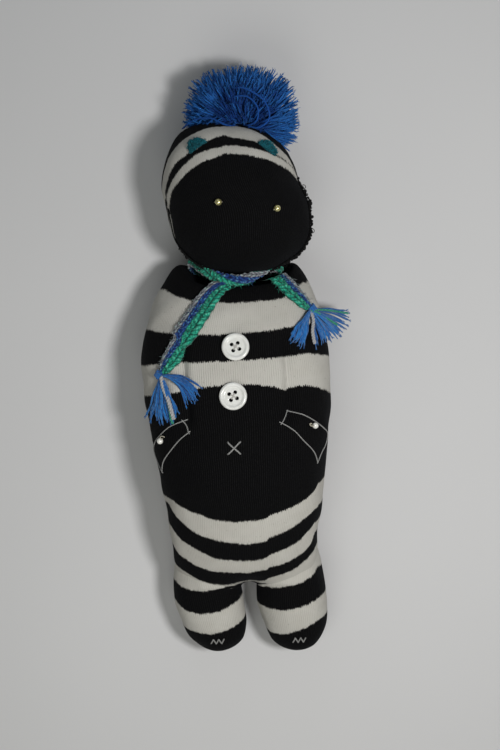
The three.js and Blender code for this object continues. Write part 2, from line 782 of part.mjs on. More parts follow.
function buttonThread() {
  const half = (buttonHoleSpacing / 2) * Math.SQRT2;
  const top = buttonThickness - buttonWell + seatGap + buttonThreadRadius;
  const rise = [[-half, 0.4], [-half, top * 0.7], [-half * 0.6, top]];
  const path = [...rise, ...rise.map(([x, z]) => [-x, z]).reverse()];
  const bar = thread(path.map(([x, z]) => new THREE.Vector3(x, 0, z)), buttonThreadRadius, 5, 12);
  const quarter = Math.PI / 4;
  return geometryOf(joined(bar.clone().rotateZ(quarter), bar.clone().rotateZ(-quarter)));
}

const buttons = [["upper_button", 0, upperButtonY], ["lower_button", lowerButtonDegrees, lowerButtonY]];
for (const [name, degrees, y] of buttons) {
  seat(add(name, buttonGeometry(), gloss), trunkSkin, degrees, y, buttonTurn, buttonRadius);
  const holder = add(`${name}_thread`, buttonThread(), whiteThread);
  seat(holder, trunkSkin, degrees, y, buttonTurn, buttonRadius);
}

// Crossed stitches on the belly

function crossStitch() {
  const rise = crossThreadRadius * 1.6;
  const points = [-1, -0.5, 0, 0.5, 1].map(
    (k) => new THREE.Vector3(k * crossHalfLength * Math.SQRT2, 0, crossThreadRadius + rise * (1 - k * k)),
  );
  const bar = thread(points, crossThreadRadius, 6, 10);
  const quarter = Math.PI / 4;
  return geometryOf(joined(bar.clone().rotateZ(quarter), bar.clone().rotateZ(-quarter)));
}
const cross = add("belly_cross_stitch", crossStitch(), greyThread);
seat(cross, trunkSkin, crossDegrees, crossY, 0, crossHalfLength);

// Pocket outlines

function pocketOutline(points) {
  const lift = seatGap + 2 * outlineThreadRadius;
  const places = points.map(([degrees, y]) => onCover(trunkSkin, degrees, y, lift));
  const path = new THREE.CatmullRomCurve3(places, true, "catmullrom", 0.2);
  return new THREE.TubeGeometry(path, places.length * 3, outlineThreadRadius, 5, true);
}
add("left_pocket_outline", pocketOutline(leftPocket), greyThread);
add("right_pocket_outline", pocketOutline(rightPocket), greyThread);

// Scarf: a collar round the neck, a knot at the front and two tails draped on the chest

function knotBall(clearance) {
  const { x, y, z } = onCover(trunkSkin, degreesAtX(trunk, knotX, knotY), knotY, knotHalfDepth * knotSink);
  const sizes = [knotHalfWidth, knotHalfLength, knotHalfDepth].map((size) => size + clearance);
  return solid(ellipsoid(x, y, z, ...sizes, 20));
}

function draped(points, widths, thickness) {
  const places = points.map(([x, y]) => skinPoint(trunk, degreesAtX(trunk, x, y), y));
  const path = new THREE.CatmullRomCurve3(places);
  const steps = points.length * 2;
  const rings = Array.from({ length: steps + 1 }, (_, k) => {
    const share = k / steps;
    const centre = path.getPointAt(share);
    const normal = skinNormal(trunk, degreesOf(trunk, centre), centre.y);
    const side = path.getTangentAt(share).cross(normal).normalize();
    const half = smoothTable(widths, share)[0] / 2;
    const across = [-1, -0.6, -0.2, 0.2, 0.6, 1];
    const lay = (shift, lift) => {
      const near = centre.clone().addScaledVector(side, shift * half);
      const degrees = degreesOf(trunk, near);
      return skinPoint(trunk, degrees, near.y).addScaledVector(skinNormal(trunk, degrees, near.y), lift);
    };
    const under = across.map((shift) => lay(shift, seatGap));
    const over = across.map((shift) => lay(shift, seatGap + thickness * (Math.abs(shift) === 1 ? 0.6 : 1)));
    return [...under, ...over.reverse()];
  });
  return loft(rings);
}

const trunkClear = solid(bodyLoft(trunk, seatGap * clearShare));
const collarClear = collarRing(seatGap);
const knotSolid = knotBall(0).subtract(trunkClear).subtract(collarClear).subtract(headSpace);
const knotClear = knotBall(seatGap);
add("scarf_collar", geometryOf(collarRing(0)), greenKnit);
add("scarf_knot", geometryOf(largest(knotSolid)), greenKnit);

const tailWidths = [[0, scarfWidth * 0.8], [0.3, scarfWidth], [0.7, scarfWidth], [1, tailNarrow]];
const tails = [["left", leftTail, leftBinding, leftTassel], ["right", rightTail, rightBinding, rightTassel]];
for (const [side, points, binding, spread] of tails) {
  const degrees = degreesAtX(trunk, binding.x, binding.y);
  const bindingPlace = onCover(trunkSkin, degrees, binding.y, bindingRadius * bindingSink);
  const bound = ball(bindingRadius, bindingPlace.x, bindingPlace.y, bindingPlace.z, beadRound).subtract(trunkClear);
  const boundClear = ball(bindingRadius + seatGap, bindingPlace.x, bindingPlace.y, bindingPlace.z, beadRound);
  const strip = solid(draped(points, tailWidths, scarfThickness))
    .subtract(collarClear)
    .subtract(knotClear)
    .subtract(boundClear)
    .subtract(headSpace)
    .subtract(quiltingClear)
    .subtract(trunkClear);
  add(`scarf_${side}_tail`, geometryOf(largest(strip)), greenKnit);
  add(`${side}_tassel_binding`, geometryOf(bound), blueYarn);
  const fan = solid(tasselFan(bindingPlace, spread))
    .subtract(boundClear)
    .subtract(quiltingClear)
    .subtract(trunkClear);
  add(`${side}_tassel`, geometryOf(largest(fan)), blueYarn);
}

// The height that a strand lies at: on the trunk, or drooping past its side
function strandHeight(x, y) {
  const { half, shift, middle } = trunk.at(y);
  const share = Math.min(Math.abs(x - shift) / half, strandEdge);
  const onTrunk = skinPoint(trunk, degreesAtX(trunk, shift + Math.sign(x) * share * half, y), y).z;
  const past = Math.max(Math.abs(x - shift) / half - strandEdge, 0) * half;
  return Math.max(onTrunk - past, middle * 0.3);
}

function tasselFan(root, spread) {
  const reach = [0.06, 0.3, 0.55, 0.8, 1];
  const sweep = 9;
  return loft(
    reach.map((share) => {
      const lay = (k, lift) => {
        const turn = THREE.MathUtils.degToRad(spread.from + ((spread.to - spread.from) * k) / (sweep - 1));
        const x = root.x + tasselLength * share * Math.cos(turn);
        const y = root.y + tasselLength * share * Math.sin(turn);
        return new THREE.Vector3(x, y, strandHeight(x, y) + lift);
      };
      const columns = Array.from({ length: sweep }, (_, k) => k);
      const under = columns.map((k) => lay(k, seatGap * 2));
      const over = columns.map((k) => lay(k, seatGap * 2 + tasselThickness * (k % (sweep - 1) ? 1 : 0.5)));
      return [...under, ...over.reverse()];
    }),
  );
}

export default zebra;
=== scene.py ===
"""Looks of a plush zebra sewn from striped socks and lying on its back: knit skins, bouclé eyes,
a yarn mane, buttons, beads and stitches, and a knitted scarf with tassels. Shapes are worked out
in millimetres in the part's frame, and go into the meshes in metres."""

import math

import bpy
import numpy as np
from mathutils import Matrix


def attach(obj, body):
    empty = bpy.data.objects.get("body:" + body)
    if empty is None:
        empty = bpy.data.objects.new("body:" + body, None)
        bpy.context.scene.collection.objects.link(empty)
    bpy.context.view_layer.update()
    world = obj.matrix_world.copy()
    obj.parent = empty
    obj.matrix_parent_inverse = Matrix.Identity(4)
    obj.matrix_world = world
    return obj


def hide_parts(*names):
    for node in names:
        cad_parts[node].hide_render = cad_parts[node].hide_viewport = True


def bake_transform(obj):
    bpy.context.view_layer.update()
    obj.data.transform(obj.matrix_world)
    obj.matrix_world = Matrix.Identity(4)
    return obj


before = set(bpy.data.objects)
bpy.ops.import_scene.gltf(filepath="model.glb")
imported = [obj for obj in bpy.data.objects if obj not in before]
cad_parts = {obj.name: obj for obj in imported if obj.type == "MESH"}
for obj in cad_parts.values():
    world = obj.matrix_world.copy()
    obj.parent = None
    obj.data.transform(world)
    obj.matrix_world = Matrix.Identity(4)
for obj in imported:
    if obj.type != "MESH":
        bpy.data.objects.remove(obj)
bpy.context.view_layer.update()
MM = 0.001
TURN = 2 * math.pi

# Camera, as the photograph was taken: from above the belly, tilted and rolled a little
CAMERA_PLACE = (6.82, 79.59, 800.0)
CAMERA_TILT = 5.2
CAMERA_ROLL = 2.8
CAMERA_LENS = 65.66


def unit(vectors):
    """Vectors of length 1 that point the same ways."""
    return vectors / np.maximum(np.linalg.norm(vectors, axis=-1, keepdims=True), 1e-9)


def placed(name, data):
    """A new object of the scene, at the origin."""
    made = bpy.data.objects.new(name, data)
    bpy.context.scene.collection.objects.link(made)
    return made


def aim(thing, right, up, back, place):
    """Turns an object to three directions and sets it at a place in metres."""
    columns = np.column_stack([right, up, back, place])
    thing.matrix_world = Matrix([*columns.tolist(), [0, 0, 0, 1]])


def place_camera():
    """The camera looks down from +Z, tilted towards the feet and then rolled about its own line
    of sight."""
    tilt, roll = math.radians(CAMERA_TILT), math.radians(CAMERA_ROLL)
    back = np.array([0, math.sin(tilt), math.cos(tilt)])
    level = np.array([1.0, 0, 0])
    above = np.array([0, math.cos(tilt), -math.sin(tilt)])
    right = math.cos(roll) * level - math.sin(roll) * above
    up = math.sin(roll) * level + math.cos(roll) * above
    camera = placed("camera", bpy.data.cameras.new("camera"))
    camera.data.sensor_width = 36
    camera.data.lens = CAMERA_LENS
    aim(camera, right, up, back, np.array(CAMERA_PLACE) * MM)
    bpy.context.scene.camera = camera


place_camera()

# Shapes of the part: y, half width, lowest z, highest z, sideways shift
TRUNK_POWER = 2.35
TRUNK_STATIONS = [
    (76.9, 0.3, 28.8, 29.4, -1), (76.7, 6, 26, 32.5, -1), (76, 14, 22, 36, -1),
    (74.6, 30, 15, 39, -1.3), (70, 38, 8, 42.5, -1.5), (60, 44.2, 2, 51, -1.6),
    (50, 48, 0, 57, -1.5), (36, 50.8, -0.5, 62, -1.4), (18, 52.6, -0.5, 66, -1.2),
    (0, 52.2, -0.5, 69, -0.4), (-25, 49.3, -0.5, 72, -0.2), (-45, 46.6, -0.5, 71.5, -0.2),
    (-62, 44.2, -0.5, 68, 0.2), (-80, 42, 0.2, 62, -0.8), (-92, 41, 1.5, 55.5, -0.8),
    (-101, 39.5, 4, 49, -0.5), (-107, 34, 9, 42, -0.3), (-110, 24, 15, 35, 0),
    (-111.5, 12, 20, 30, 0), (-112, 0.3, 24.7, 25.3, 0),
]
LEG_POWER = 2.1
LEFT_LEG_STATIONS = [
    (-75, 0.3, 21, 21.5, -22.6), (-75.6, 3.5, 19, 23.5, -22.6), (-77.8, 7.5, 13.5, 30, -22.6),
    (-81.6, 11.6, 9.6, 36.8, -22.7), (-86.5, 14.8, 6.6, 40.4, -22.8), (-92, 17.2, 3, 42, -23),
    (-101, 18.8, 0, 42, -23.6), (-112, 19.2, -0.5, 40.5, -24.4), (-122, 19, -0.5, 38.5, -24),
    (-132, 18.2, -0.5, 36.5, -22.2), (-141, 15.8, 1, 33, -20.7), (-148, 11.2, 4.5, 27.5, -19.7),
    (-151.5, 5.6, 10, 21.5, -19.3), (-152.5, 0.3, 15.5, 16, -19.2),
]
RIGHT_LEG_STATIONS = [
    (-75, 0.3, 21, 21.5, 22.8), (-75.6, 3.5, 19, 23.5, 22.8), (-77.8, 7.5, 13.5, 30, 22.8),
    (-81.6, 11.6, 9.6, 36.8, 22.9), (-86.5, 14.8, 6.6, 40.4, 23), (-92, 17.2, 3, 42, 23.2),
    (-101, 18.8, 0, 42, 23.8), (-112, 19.2, -0.5, 40.5, 25.2), (-122, 19.2, -0.5, 38.5, 25.9),
    (-132, 18, -0.5, 36.5, 27), (-142, 15.4, 1, 33, 27.6), (-150, 10.8, 4.5, 27.5, 27.7),
    (-153.5, 5.4, 10, 21.5, 27.7), (-154.5, 0.3, 15.5, 16, 27.7),
]
HEAD_MIDDLE = (3.2, 108.0, 36.7)
HEAD_HALF = (39.6, 41.0, 37.2)
HEAD_LEAN = -0.07
CHIN_POWER, CROWN_POWER = 2.4, 2.05
# how far the stuffing swells the head's rim: degrees from the crown towards +X, millimetres
HEAD_RIM = [
    (-180, 0), (-150, -0.3), (-135, 0.2), (-120, -0.5), (-98, -1.3), (-80, 0.3), (-65, 1.6), (-50, 3.0),
    (-36, 4.6), (-20, 3.0), (0, 0.5), (25, 0.2), (50, 0), (62, -0.8), (75, -2.0), (88, -0.4), (98, 2.1),
    (117, 3.1), (130, 2.5), (145, 0.8), (180, 0),
]
NECK = (3.4, 68.0, 36.0)
NOD, CHIN_ROOM = 8, 2.35  # degrees that the head nods, and the room it has to do so
QUILT_DEGREES, QUILT_HALF, QUILT_DEPTH = 30, 8, 3.4
QUILT_TOP, QUILT_BOTTOM, QUILT_FADE = 28, -9, 8
SHOULDER_FOOT, SHOULDER_TOP, SHOULDER_SLOPE = 18, 72, 4.8
HINGE = -101.0  # the level at which the legs turn
LEGS_PART, LEGS_FULL, TOE_FADE = -104, -124, 8
SIDE_POWER = 1.3  # how closely the swellings keep to the side they are on
SEAM_HEIGHT, SEAM_SAG = 46.0, 5
TABLE = 0.05  # the lowest that a skin comes to the table

# Knit gauge: stitches round each tube, and millimetres along for each row of them
TRUNK_WALES, LEG_WALES, HEAD_WALES, NECK_WALES = 232, 104, 201, 64
COURSE = 0.95


def ease(low, high, value):
    """0 below low and 1 above high, by the smooth step 3t^2 - 2t^3 in between."""
    t = np.clip((value - low) / (high - low), 0, 1)
    return t * t * (3 - 2 * t)


def smooth_table(rows):
    """A monotone cubic through rows of (place, values...): each row's slope is the harmonic mean
    of the slopes on its two sides, and 0 where these differ in sign."""
    rows = np.array(sorted(rows), float)
    place, value = rows[:, 0], rows[:, 1:]
    slope = np.diff(value, axis=0) / np.diff(place)[:, None]
    before, after = np.vstack([slope[:1], slope]), np.vstack([slope, slope[-1:]])
    alike = before * after > 0
    tangent = np.where(alike, 2 * before * after / np.where(alike, before + after, 1), 0)

    def at(where):
        where = np.asarray(where, float)
        i = np.clip(np.searchsorted(place, where) - 1, 0, len(place) - 2)
        span = (place[i + 1] - place[i])[..., None]
        t = np.clip((where - place[i])[..., None] / span, 0, 1)
        h = 2 * t**3 - 3 * t**2 + 1
        start = h * value[i] + (t**3 - 2 * t**2 + t) * span * tangent[i]
        return start + (1 - h) * value[i + 1] + (t**3 - t**2) * span * tangent[i + 1]

    return at


def signed_power(value, power):
    """sign(value) * |value|^(2/power)."""
    return np.sign(value) * np.abs(value) ** (2 / power)


def trunk_growth(degrees, y):
    """A channel at 30 degrees each side parts the arms: minus its depth times a power of the
    closeness to its middle, fading out above and below. The left shoulder slopes more."""
    across = np.clip(1 - np.abs(np.abs(degrees) - QUILT_DEGREES) / QUILT_HALF, 0, 1)
    below = ease(QUILT_BOTTOM - QUILT_FADE, QUILT_BOTTOM, y)
    above = 1 - ease(QUILT_TOP, QUILT_TOP + QUILT_FADE, y)
    leftward = np.maximum(-np.sin(np.radians(degrees)), 0) ** SIDE_POWER
    slope = SHOULDER_SLOPE * ease(SHOULDER_FOOT, SHOULDER_TOP, y) * leftward
    return -QUILT_DEPTH * across**1.6 * below * above - slope


def leg_growth(inner, amount, toe):
    """Legs swell towards each other below the crotch, as far as the toe."""

    def growth(degrees, y):
        side = np.maximum(inner * np.sin(np.radians(degrees)), 0) ** SIDE_POWER
        return amount * side * ease(LEGS_PART, LEGS_FULL, y) * ease(toe, toe + TOE_FADE, y)

    return growth


def head_underside(radius):
    """How far up the head's lower side is at a distance from the neck's axis, with room to nod."""
    share = np.clip(radius / HEAD_HALF[0], 0, 1)
    size = (1 - share**CHIN_POWER) ** (1 / CHIN_POWER)
    nod = radius * math.sin(math.radians(NOD))
    return HEAD_MIDDLE[1] - HEAD_HALF[1] * size - nod - CHIN_ROOM


class Body:
    """A swelling body along Y. A point at some degrees round from the front is
    x = shift + half width * S(sin), z = middle + rise * S(cos), with S(u) = sign(u)|u|^(2/power)."""

    def __init__(self, stations, power, growth=None):
        self.size, self.power, self.growth = smooth_table(stations), power, growth
        self.top, self.bottom = stations[0][0], stations[-1][0]

    def measure(self, y):
        """Half width, middle, rise and sideways shift at a level y."""
        half, low, high, shift = np.moveaxis(self.size(y), -1, 0)
        return half, (low + high) / 2, (high - low) / 2, shift

    def bare(self, degrees, y):
        """The shape without lumps. Growth adds to the half width and to the rise."""
        degrees, y = np.broadcast_arrays(np.asarray(degrees, float), np.asarray(y, float))
        half, middle, rise, shift = self.measure(y)
        turn = np.radians(degrees)
        out = self.growth(degrees, y) if self.growth else 0
        x = shift + np.maximum(half + out, 0.05) * signed_power(np.sin(turn), self.power)
        z = middle + np.maximum(rise + out, 0.05) * signed_power(np.cos(turn), self.power)
        return np.stack([x, y, z], -1)

    def normal(self, degrees, y):
        """The way out of the bare shape: across the ways round it and along it."""
        round_way = self.bare(degrees + 0.8, y) - self.bare(degrees - 0.8, y)
        along = self.bare(degrees, y + 0.4) - self.bare(degrees, y - 0.4)
        return unit(np.cross(round_way, along))

    def point(self, degrees, y, lift=0.0):
        """The stuffed skin: the bare shape with soft lumps, pressed flat by the table."""
        degrees, y = np.asarray(degrees, float), np.asarray(y, float)
        bare, out = self.bare(degrees, y), self.normal(degrees, y)
        place = bare + out * (lumps(bare) + lift)[..., None]
        place[..., 2] = np.maximum(place[..., 2], TABLE + np.maximum(lift, 0))
        return place

    def degrees_at(self, x, y):
        """How far round the front a point is, from its x: the arc sine of x's formula undone."""
        half, _, _, shift = self.measure(y)
        share = np.clip((x - shift) / half, -0.999, 0.999)
        return np.degrees(np.arcsin(signed_power(share, 4 / self.power)))

    def degrees_of(self, place):
        """How far round a point is: the arc tangent of x's and z's formulas undone."""
        half, middle, rise, shift = self.measure(place[..., 1])
        across = signed_power((place[..., 0] - shift) / half, 4 / self.power)
        up = signed_power((place[..., 2] - middle) / rise, 4 / self.power)
        return np.degrees(np.arctan2(across, up))

    def swelling(self, place):
        """How many times the body would have to swell to reach a point, and how that changes."""
        step = 0.3

        def ratio(p):
            """(|x / half width|^power + |z / rise|^power)^(1/power), from the body's middle."""
            half, middle, rise, shift = self.measure(p[..., 1])
            across = np.abs((p[..., 0] - shift) / half) ** self.power
            up = np.abs((p[..., 2] - middle) / rise) ** self.power
            return (across + up) ** (1 / self.power)

        value = ratio(place)
        steps = [ratio(place + np.eye(3)[k] * step) - value for k in range(3)]
        return value, np.stack(steps, -1) / step

    def distance(self, place):
        """Roughly how far outside the body a point is."""
        value, slope = self.swelling(place)
        return (value - 1) / np.maximum(np.linalg.norm(slope, axis=-1), 1e-4)


class Head(Body):
    """A ball, squarer towards the chin: size = (1 - |share|^power)^(1/power) along Y. Its rim
    swells by HEAD_RIM, and less towards the front and the back, by 1 - z^2."""

    def __init__(self):
        self.power, self.growth = 2.0, None
        self.top = HEAD_MIDDLE[1] + HEAD_HALF[1]
        self.bottom = HEAD_MIDDLE[1] - HEAD_HALF[1]
        self.rim = smooth_table(HEAD_RIM)

    def measure(self, y):
        share = np.clip((y - HEAD_MIDDLE[1]) / HEAD_HALF[1], -1, 1)
        power = np.where(share < 0, CHIN_POWER, CROWN_POWER)
        size = np.maximum(1 - np.abs(share) ** power, 1e-9) ** (1 / power)
        shift = HEAD_MIDDLE[0] + HEAD_LEAN * (y - HEAD_MIDDLE[1])
        middle = np.full_like(size, HEAD_MIDDLE[2])
        return HEAD_HALF[0] * size, middle, HEAD_HALF[2] * size, shift

    def bare(self, degrees, y):
        place = super().bare(degrees, y)
        way = unit(place - np.array(HEAD_MIDDLE))
        swell = self.rim(np.degrees(np.arctan2(way[..., 0], way[..., 1])))
        return place + way * swell * (1 - way[..., 2:] ** 2)


LUMP_WAVES = np.array([
    (0.21, 0.13, 0.17, 0.4), (-0.16, 0.24, 0.11, 1.9), (0.11, -0.2, 0.27, 3.1),
    (0.31, 0.07, -0.19, 4.4), (-0.09, 0.33, -0.22, 5.2),
])


def lumps(place):
    """Unevenness of the stuffing: five waves across the body, a few tenths of a millimetre."""
    phase = place @ LUMP_WAVES[:, :3].T + LUMP_WAVES[:, 3]
    return 0.13 * np.sin(phase).sum(-1)


trunk = Body(TRUNK_STATIONS, TRUNK_POWER, trunk_growth)
left_leg = Body(LEFT_LEG_STATIONS, LEG_POWER, leg_growth(inner=1, amount=1.9, toe=-152))
right_leg = Body(RIGHT_LEG_STATIONS, LEG_POWER, leg_growth(inner=-1, amount=2.3, toe=-154))
head = Head()

# Meshes


def round_turn(count):
    """Angles once round, in radians."""
    return np.arange(count) * TURN / count


def turned(radius, height, around):
    """A profile turned about Z: (radius cos, radius sin, height)."""
    turn = round_turn(around)
    return np.stack([
        radius[:, None] * np.cos(turn), radius[:, None] * np.sin(turn),
        np.repeat(height[:, None], around, 1),
    ], -1)


def rings(P, U=None, V=None, values=None, loop=False):
    """Faces of n surfaces at once. P holds rings of points, (n, rings, round, 3): quads join each
    ring's points round and to the next ring, and a fan closes each end, or with loop the last
    ring joins the first. U and V are map coordinates with one more column than a ring."""
    n, rows, cols = P.shape[:3]
    r, c = np.meshgrid(np.arange(rows if loop else rows - 1), np.arange(cols), indexing="ij")
    r, c = r.ravel(), c.ravel()
    r2, c2 = (r + 1) % rows, (c + 1) % cols
    quads = np.stack([r * cols + c, r * cols + c2, r2 * cols + c2, r2 * cols + c], -1)
    each = rows * cols + (0 if loop else 2)
    points = P.reshape(n, -1, 3)
    k, k2 = np.arange(cols), (np.arange(cols) + 1) % cols
    last = (rows - 1) * cols
    fans = np.zeros((0, 3), int)
    if not loop:
        points = np.concatenate([points, P[:, :1].mean(2), P[:, -1:].mean(2)], 1)
        start = np.stack([k2, k, np.full(cols, rows * cols)], -1)
        end = np.stack([last + k, last + k2, np.full(cols, rows * cols + 1)], -1)
        fans = np.vstack([start, end])
    a, b, d = (points[0][quads[:, i]] for i in (0, 1, 3))
    inside_out = np.einsum("ij,ij->i", a, np.cross(b, d)).sum() < 0
    shift = (np.arange(n) * each)[:, None, None]
    quads = (quads[None] + shift).reshape(-1, 4)
    fans = (fans[None] + shift).reshape(-1, 3)
    corners = None
    if U is not None:
        W = np.stack(np.broadcast_arrays(U, V), -1)
        r3 = r2 if not loop else r + 1
        if loop:
            W = np.concatenate([W, W[:, :1] + (W[:, -1:] - W[:, -2:-1]) * [0, rows]], 1)
        four = np.stack([W[:, r, c], W[:, r, c + 1], W[:, r3, c + 1], W[:, r3, c]], 2)
        corners = [four]
        if not loop:
            one = [W[:, 0, k + 1], W[:, 0, k], (W[:, 0, k + 1] + W[:, 0, k]) / 2]
            two = [W[:, -1, k], W[:, -1, k + 1], (W[:, -1, k + 1] + W[:, -1, k]) / 2]
            corners.append(np.concatenate([np.stack(one, 2), np.stack(two, 2)], 1))
        if inside_out:
            corners = [part[:, :, ::-1] for part in corners]
        corners = np.concatenate([part.reshape(-1, 2) for part in corners])
    if inside_out:
        quads, fans = quads[:, ::-1], fans[:, ::-1]
    spread = {}
    for name, value in (values or {}).items():
        value = np.broadcast_to(value, (n, rows, cols))
        flat = value.reshape(n, -1)
        if not loop:
            ends = [value[:, 0].mean(1)[:, None], value[:, -1].mean(1)[:, None]]
            flat = np.concatenate([flat, *ends], 1)
        spread[name] = flat.ravel()
    faces = quads.tolist() + fans.tolist()
    return points.reshape(-1, 3), faces, corners, spread


def plain_rings(P, tint=0.0):
    """Rings that bear no pattern: map coordinates of 0, and one tint for each surface."""
    U = np.zeros((len(P), P.shape[1], P.shape[2] + 1))
    return rings(P, U, U, {"along": 0.0, "tint": tint})


def joined_surfaces(*parts):
    """Several results of rings as one."""
    points, values = [], {}
    quads, quad_corners, fans, fan_corners = [], [], [], []
    count = 0
    for place, surface, uv, value in parts:
        points.append(place)
        four = sum(len(face) == 4 for face in surface)
        quads += [[i + count for i in face] for face in surface[:four]]
        fans += [[i + count for i in face] for face in surface[four:]]
        quad_corners.append(uv[: 4 * four])
        fan_corners.append(uv[4 * four :])
        for name in value:
            values.setdefault(name, []).append(value[name])
        count += len(place)
    faces = quads + fans
    corners = np.concatenate(quad_corners + fan_corners)
    return np.vstack(points), faces, corners, {k: np.concatenate(v) for k, v in values.items()}


def plain_mesh(name, points, faces):
    mesh = bpy.data.meshes.new(name)
    mesh.from_pydata(points.tolist(), [], faces)
    return mesh


def piece(name, surface, material, body, stands_for=()):
    """An object from a surface, riding on a body of the part."""
    points, faces, corners, values = surface
    mesh = plain_mesh(name, points * MM, faces)
    mesh.polygons.foreach_set("use_smooth", np.ones(len(faces), bool))
    if corners is not None:
        layer = mesh.uv_layers.new(name="stitches")
        layer.uv.foreach_set("vector", corners.astype(np.float32).ravel())
    for key, value in values.items():
        attribute = mesh.attributes.new(key, "FLOAT", "POINT")
        attribute.data.foreach_set("value", np.asarray(value, np.float32))
    mesh.materials.append(material)
    made = placed(name, mesh)
    if body:
        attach(made, body)
    if stands_for:
        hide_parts(*stands_for)
    return made


def curve_through(points, count, closed=False):
    """A Catmull-Rom curve through the points, then count places evenly along it."""
    points = np.asarray(points, float)
    if closed:
        padded = np.vstack([points[-1], points, points[0], points[1]])
    else:
        padded = np.vstack([2 * points[0] - points[1], points, 2 * points[-1] - points[-2]])
    spans = len(padded) - 3
    t = np.linspace(0, spans, spans * 24 + 1)
    i = np.minimum(t.astype(int), spans - 1)
    u = (t - i)[:, None]
    a, b, c, d = (padded[i + k] for k in range(4))
    bent = (2 * a - 5 * b + 4 * c - d) * u**2 + (3 * b - a - 3 * c + d) * u**3
    fine = 0.5 * (2 * b + (c - a) * u + bent)
    reach = np.concatenate([[0], np.cumsum(np.linalg.norm(np.diff(fine, axis=0), axis=1))])
    wanted = np.linspace(0, reach[-1], count, endpoint=not closed)
    return np.stack([np.interp(wanted, reach, fine[:, k]) for k in range(fine.shape[1])], -1)


def frames_along(paths, closed=False):
    """Side and up directions along paths (n, m, 3). Each place's side is the last one's, less
    its share along the path, so that a tube does not twist."""
    ahead = unit(np.gradient(paths, axis=1))
    if closed:
        ahead = unit(np.roll(paths, -1, 1) - np.roll(paths, 1, 1))
    steep = np.abs(ahead[:, 0, 2:3]) > 0.8
    side = np.cross(ahead[:, 0], np.where(steep, [[1.0, 0, 0]], [[0, 0, 1.0]]))
    sides = [unit(side)]
    for i in range(1, paths.shape[1]):
        side = sides[-1] - (sides[-1] * ahead[:, i]).sum(-1, keepdims=True) * ahead[:, i]
        sides.append(unit(side))
    sides = np.stack(sides, 1)
    return ahead, sides, np.cross(ahead, sides)


def tubes(paths, radius, around=6, tint=None, closed=False):
    """Round tubes along n paths: place + radius * (side cos + up sin), with rounded ends."""
    paths = np.asarray(paths, float)
    n, m = paths.shape[:2]
    radius = np.broadcast_to(radius, (n, m)).astype(float).copy()
    if not closed:
        radius[:, 0] *= 0.5
        radius[:, -1] *= 0.5
    _, side, up = frames_along(paths, closed)
    turn = round_turn(around)
    ring = side[:, :, None] * np.cos(turn)[:, None] + up[:, :, None] * np.sin(turn)[:, None]
    P = paths[:, :, None] + ring * radius[:, :, None, None]
    step = np.linalg.norm(np.diff(paths, axis=1), axis=-1)
    along = np.concatenate([np.zeros((n, 1)), np.cumsum(step, 1)], 1)
    U = np.broadcast_to(np.arange(around + 1) / around, (n, m, around + 1))
    V = np.broadcast_to(along[:, :, None], (n, m, around + 1))
    share = along / along[:, -1:]
    tint = np.zeros(n) if tint is None else tint
    values = {"along": share[:, :, None], "tint": np.broadcast_to(tint[:, None, None], (n, m, 1))}
    return rings(P, U, V, values, loop=closed)


def plied(path, radius, pitch, plies=2, around=5, closed=False):
    """Yarn of a few plies: tubes 0.62 as thick as the yarn, whose middles wind round the path
    once in each pitch, at the yarn's radius less 0.85 of their own."""
    path = np.asarray(path, float)[None]
    _, side, up = frames_along(path, closed)
    reach = np.linalg.norm(np.diff(path[0], axis=0), axis=-1)
    along = np.concatenate([[0], np.cumsum(reach)])
    turns = along / pitch
    if closed:
        whole = along[-1] + np.linalg.norm(path[0, 0] - path[0, -1])
        turns = along / whole * max(round(whole / pitch), 1)
    ply = radius * 0.62
    middles = []
    for k in range(plies):
        turn = TURN * (turns + k / plies)
        wound = side[0] * np.cos(turn)[:, None] + up[0] * np.sin(turn)[:, None]
        middles.append(path[0] + wound * (radius - ply * 0.85))
    return tubes(np.stack(middles), ply, around, np.full(plies, 0.5), closed)


# Nodes


class Channel:
    """A socket whose value changes over the surface. Sums, products and functions of channels
    are Math nodes of their tree."""

    def __init__(self, tree, socket):
        self.tree, self.socket = tree, socket

    def math(self, operation, *others):
        inputs = dict(enumerate([self, *others]))
        made = wire(self.tree, "ShaderNodeMath", inputs, operation=operation)
        return Channel(self.tree, made.outputs[0])

    def __add__(self, other):
        return self.math("ADD", other)

    def __sub__(self, other):
        return self.math("SUBTRACT", other)

    def __rsub__(self, other):
        return self.math("MULTIPLY_ADD", -1.0, other)

    def __mul__(self, other):
        return self.math("MULTIPLY", other)

    def __truediv__(self, other):
        return self.math("DIVIDE", other)

    def __abs__(self):
        return self.math("ABSOLUTE")

    def ramp(self, low, high, kind="SMOOTHSTEP"):
        """0 where the channel is low and 1 where it is high."""
        inputs = {0: self, 1: low, 2: high}
        made = wire(self.tree, "ShaderNodeMapRange", inputs, interpolation_type=kind)
        return Channel(self.tree, made.outputs[0])

    def spread(self, low, high):
        """low where the channel is 0 and high where it is 1."""
        made = wire(self.tree, "ShaderNodeMapRange", {0: self, 3: low, 4: high})
        return Channel(self.tree, made.outputs[0])


def feed(tree, socket, value):
    """Links a channel to a socket, or gives the socket a number or a colour."""
    if isinstance(value, Channel):
        tree.links.new(value.socket, socket)
    elif socket.type == "RGBA":
        socket.default_value = (*value, 1)
    else:
        socket.default_value = value


def wire(tree, kind, inputs=None, **settings):
    """A node with its settings, and its inputs given numbers, colours or channels."""
    made = tree.nodes.new(kind)
    for key, value in settings.items():
        setattr(made, key, value)
    for key, value in (inputs or {}).items():
        feed(tree, made.inputs[key], value)
    return made


def mixed(tree, share, first, second, blend="MIX"):
    """Two colours mixed: the first where the share is 0, and the second where it is 1."""
    inputs = {0: share, 6: first, 7: second}
    made = wire(tree, "ShaderNodeMix", inputs, data_type="RGBA", blend_type=blend)
    return Channel(tree, made.outputs[2])


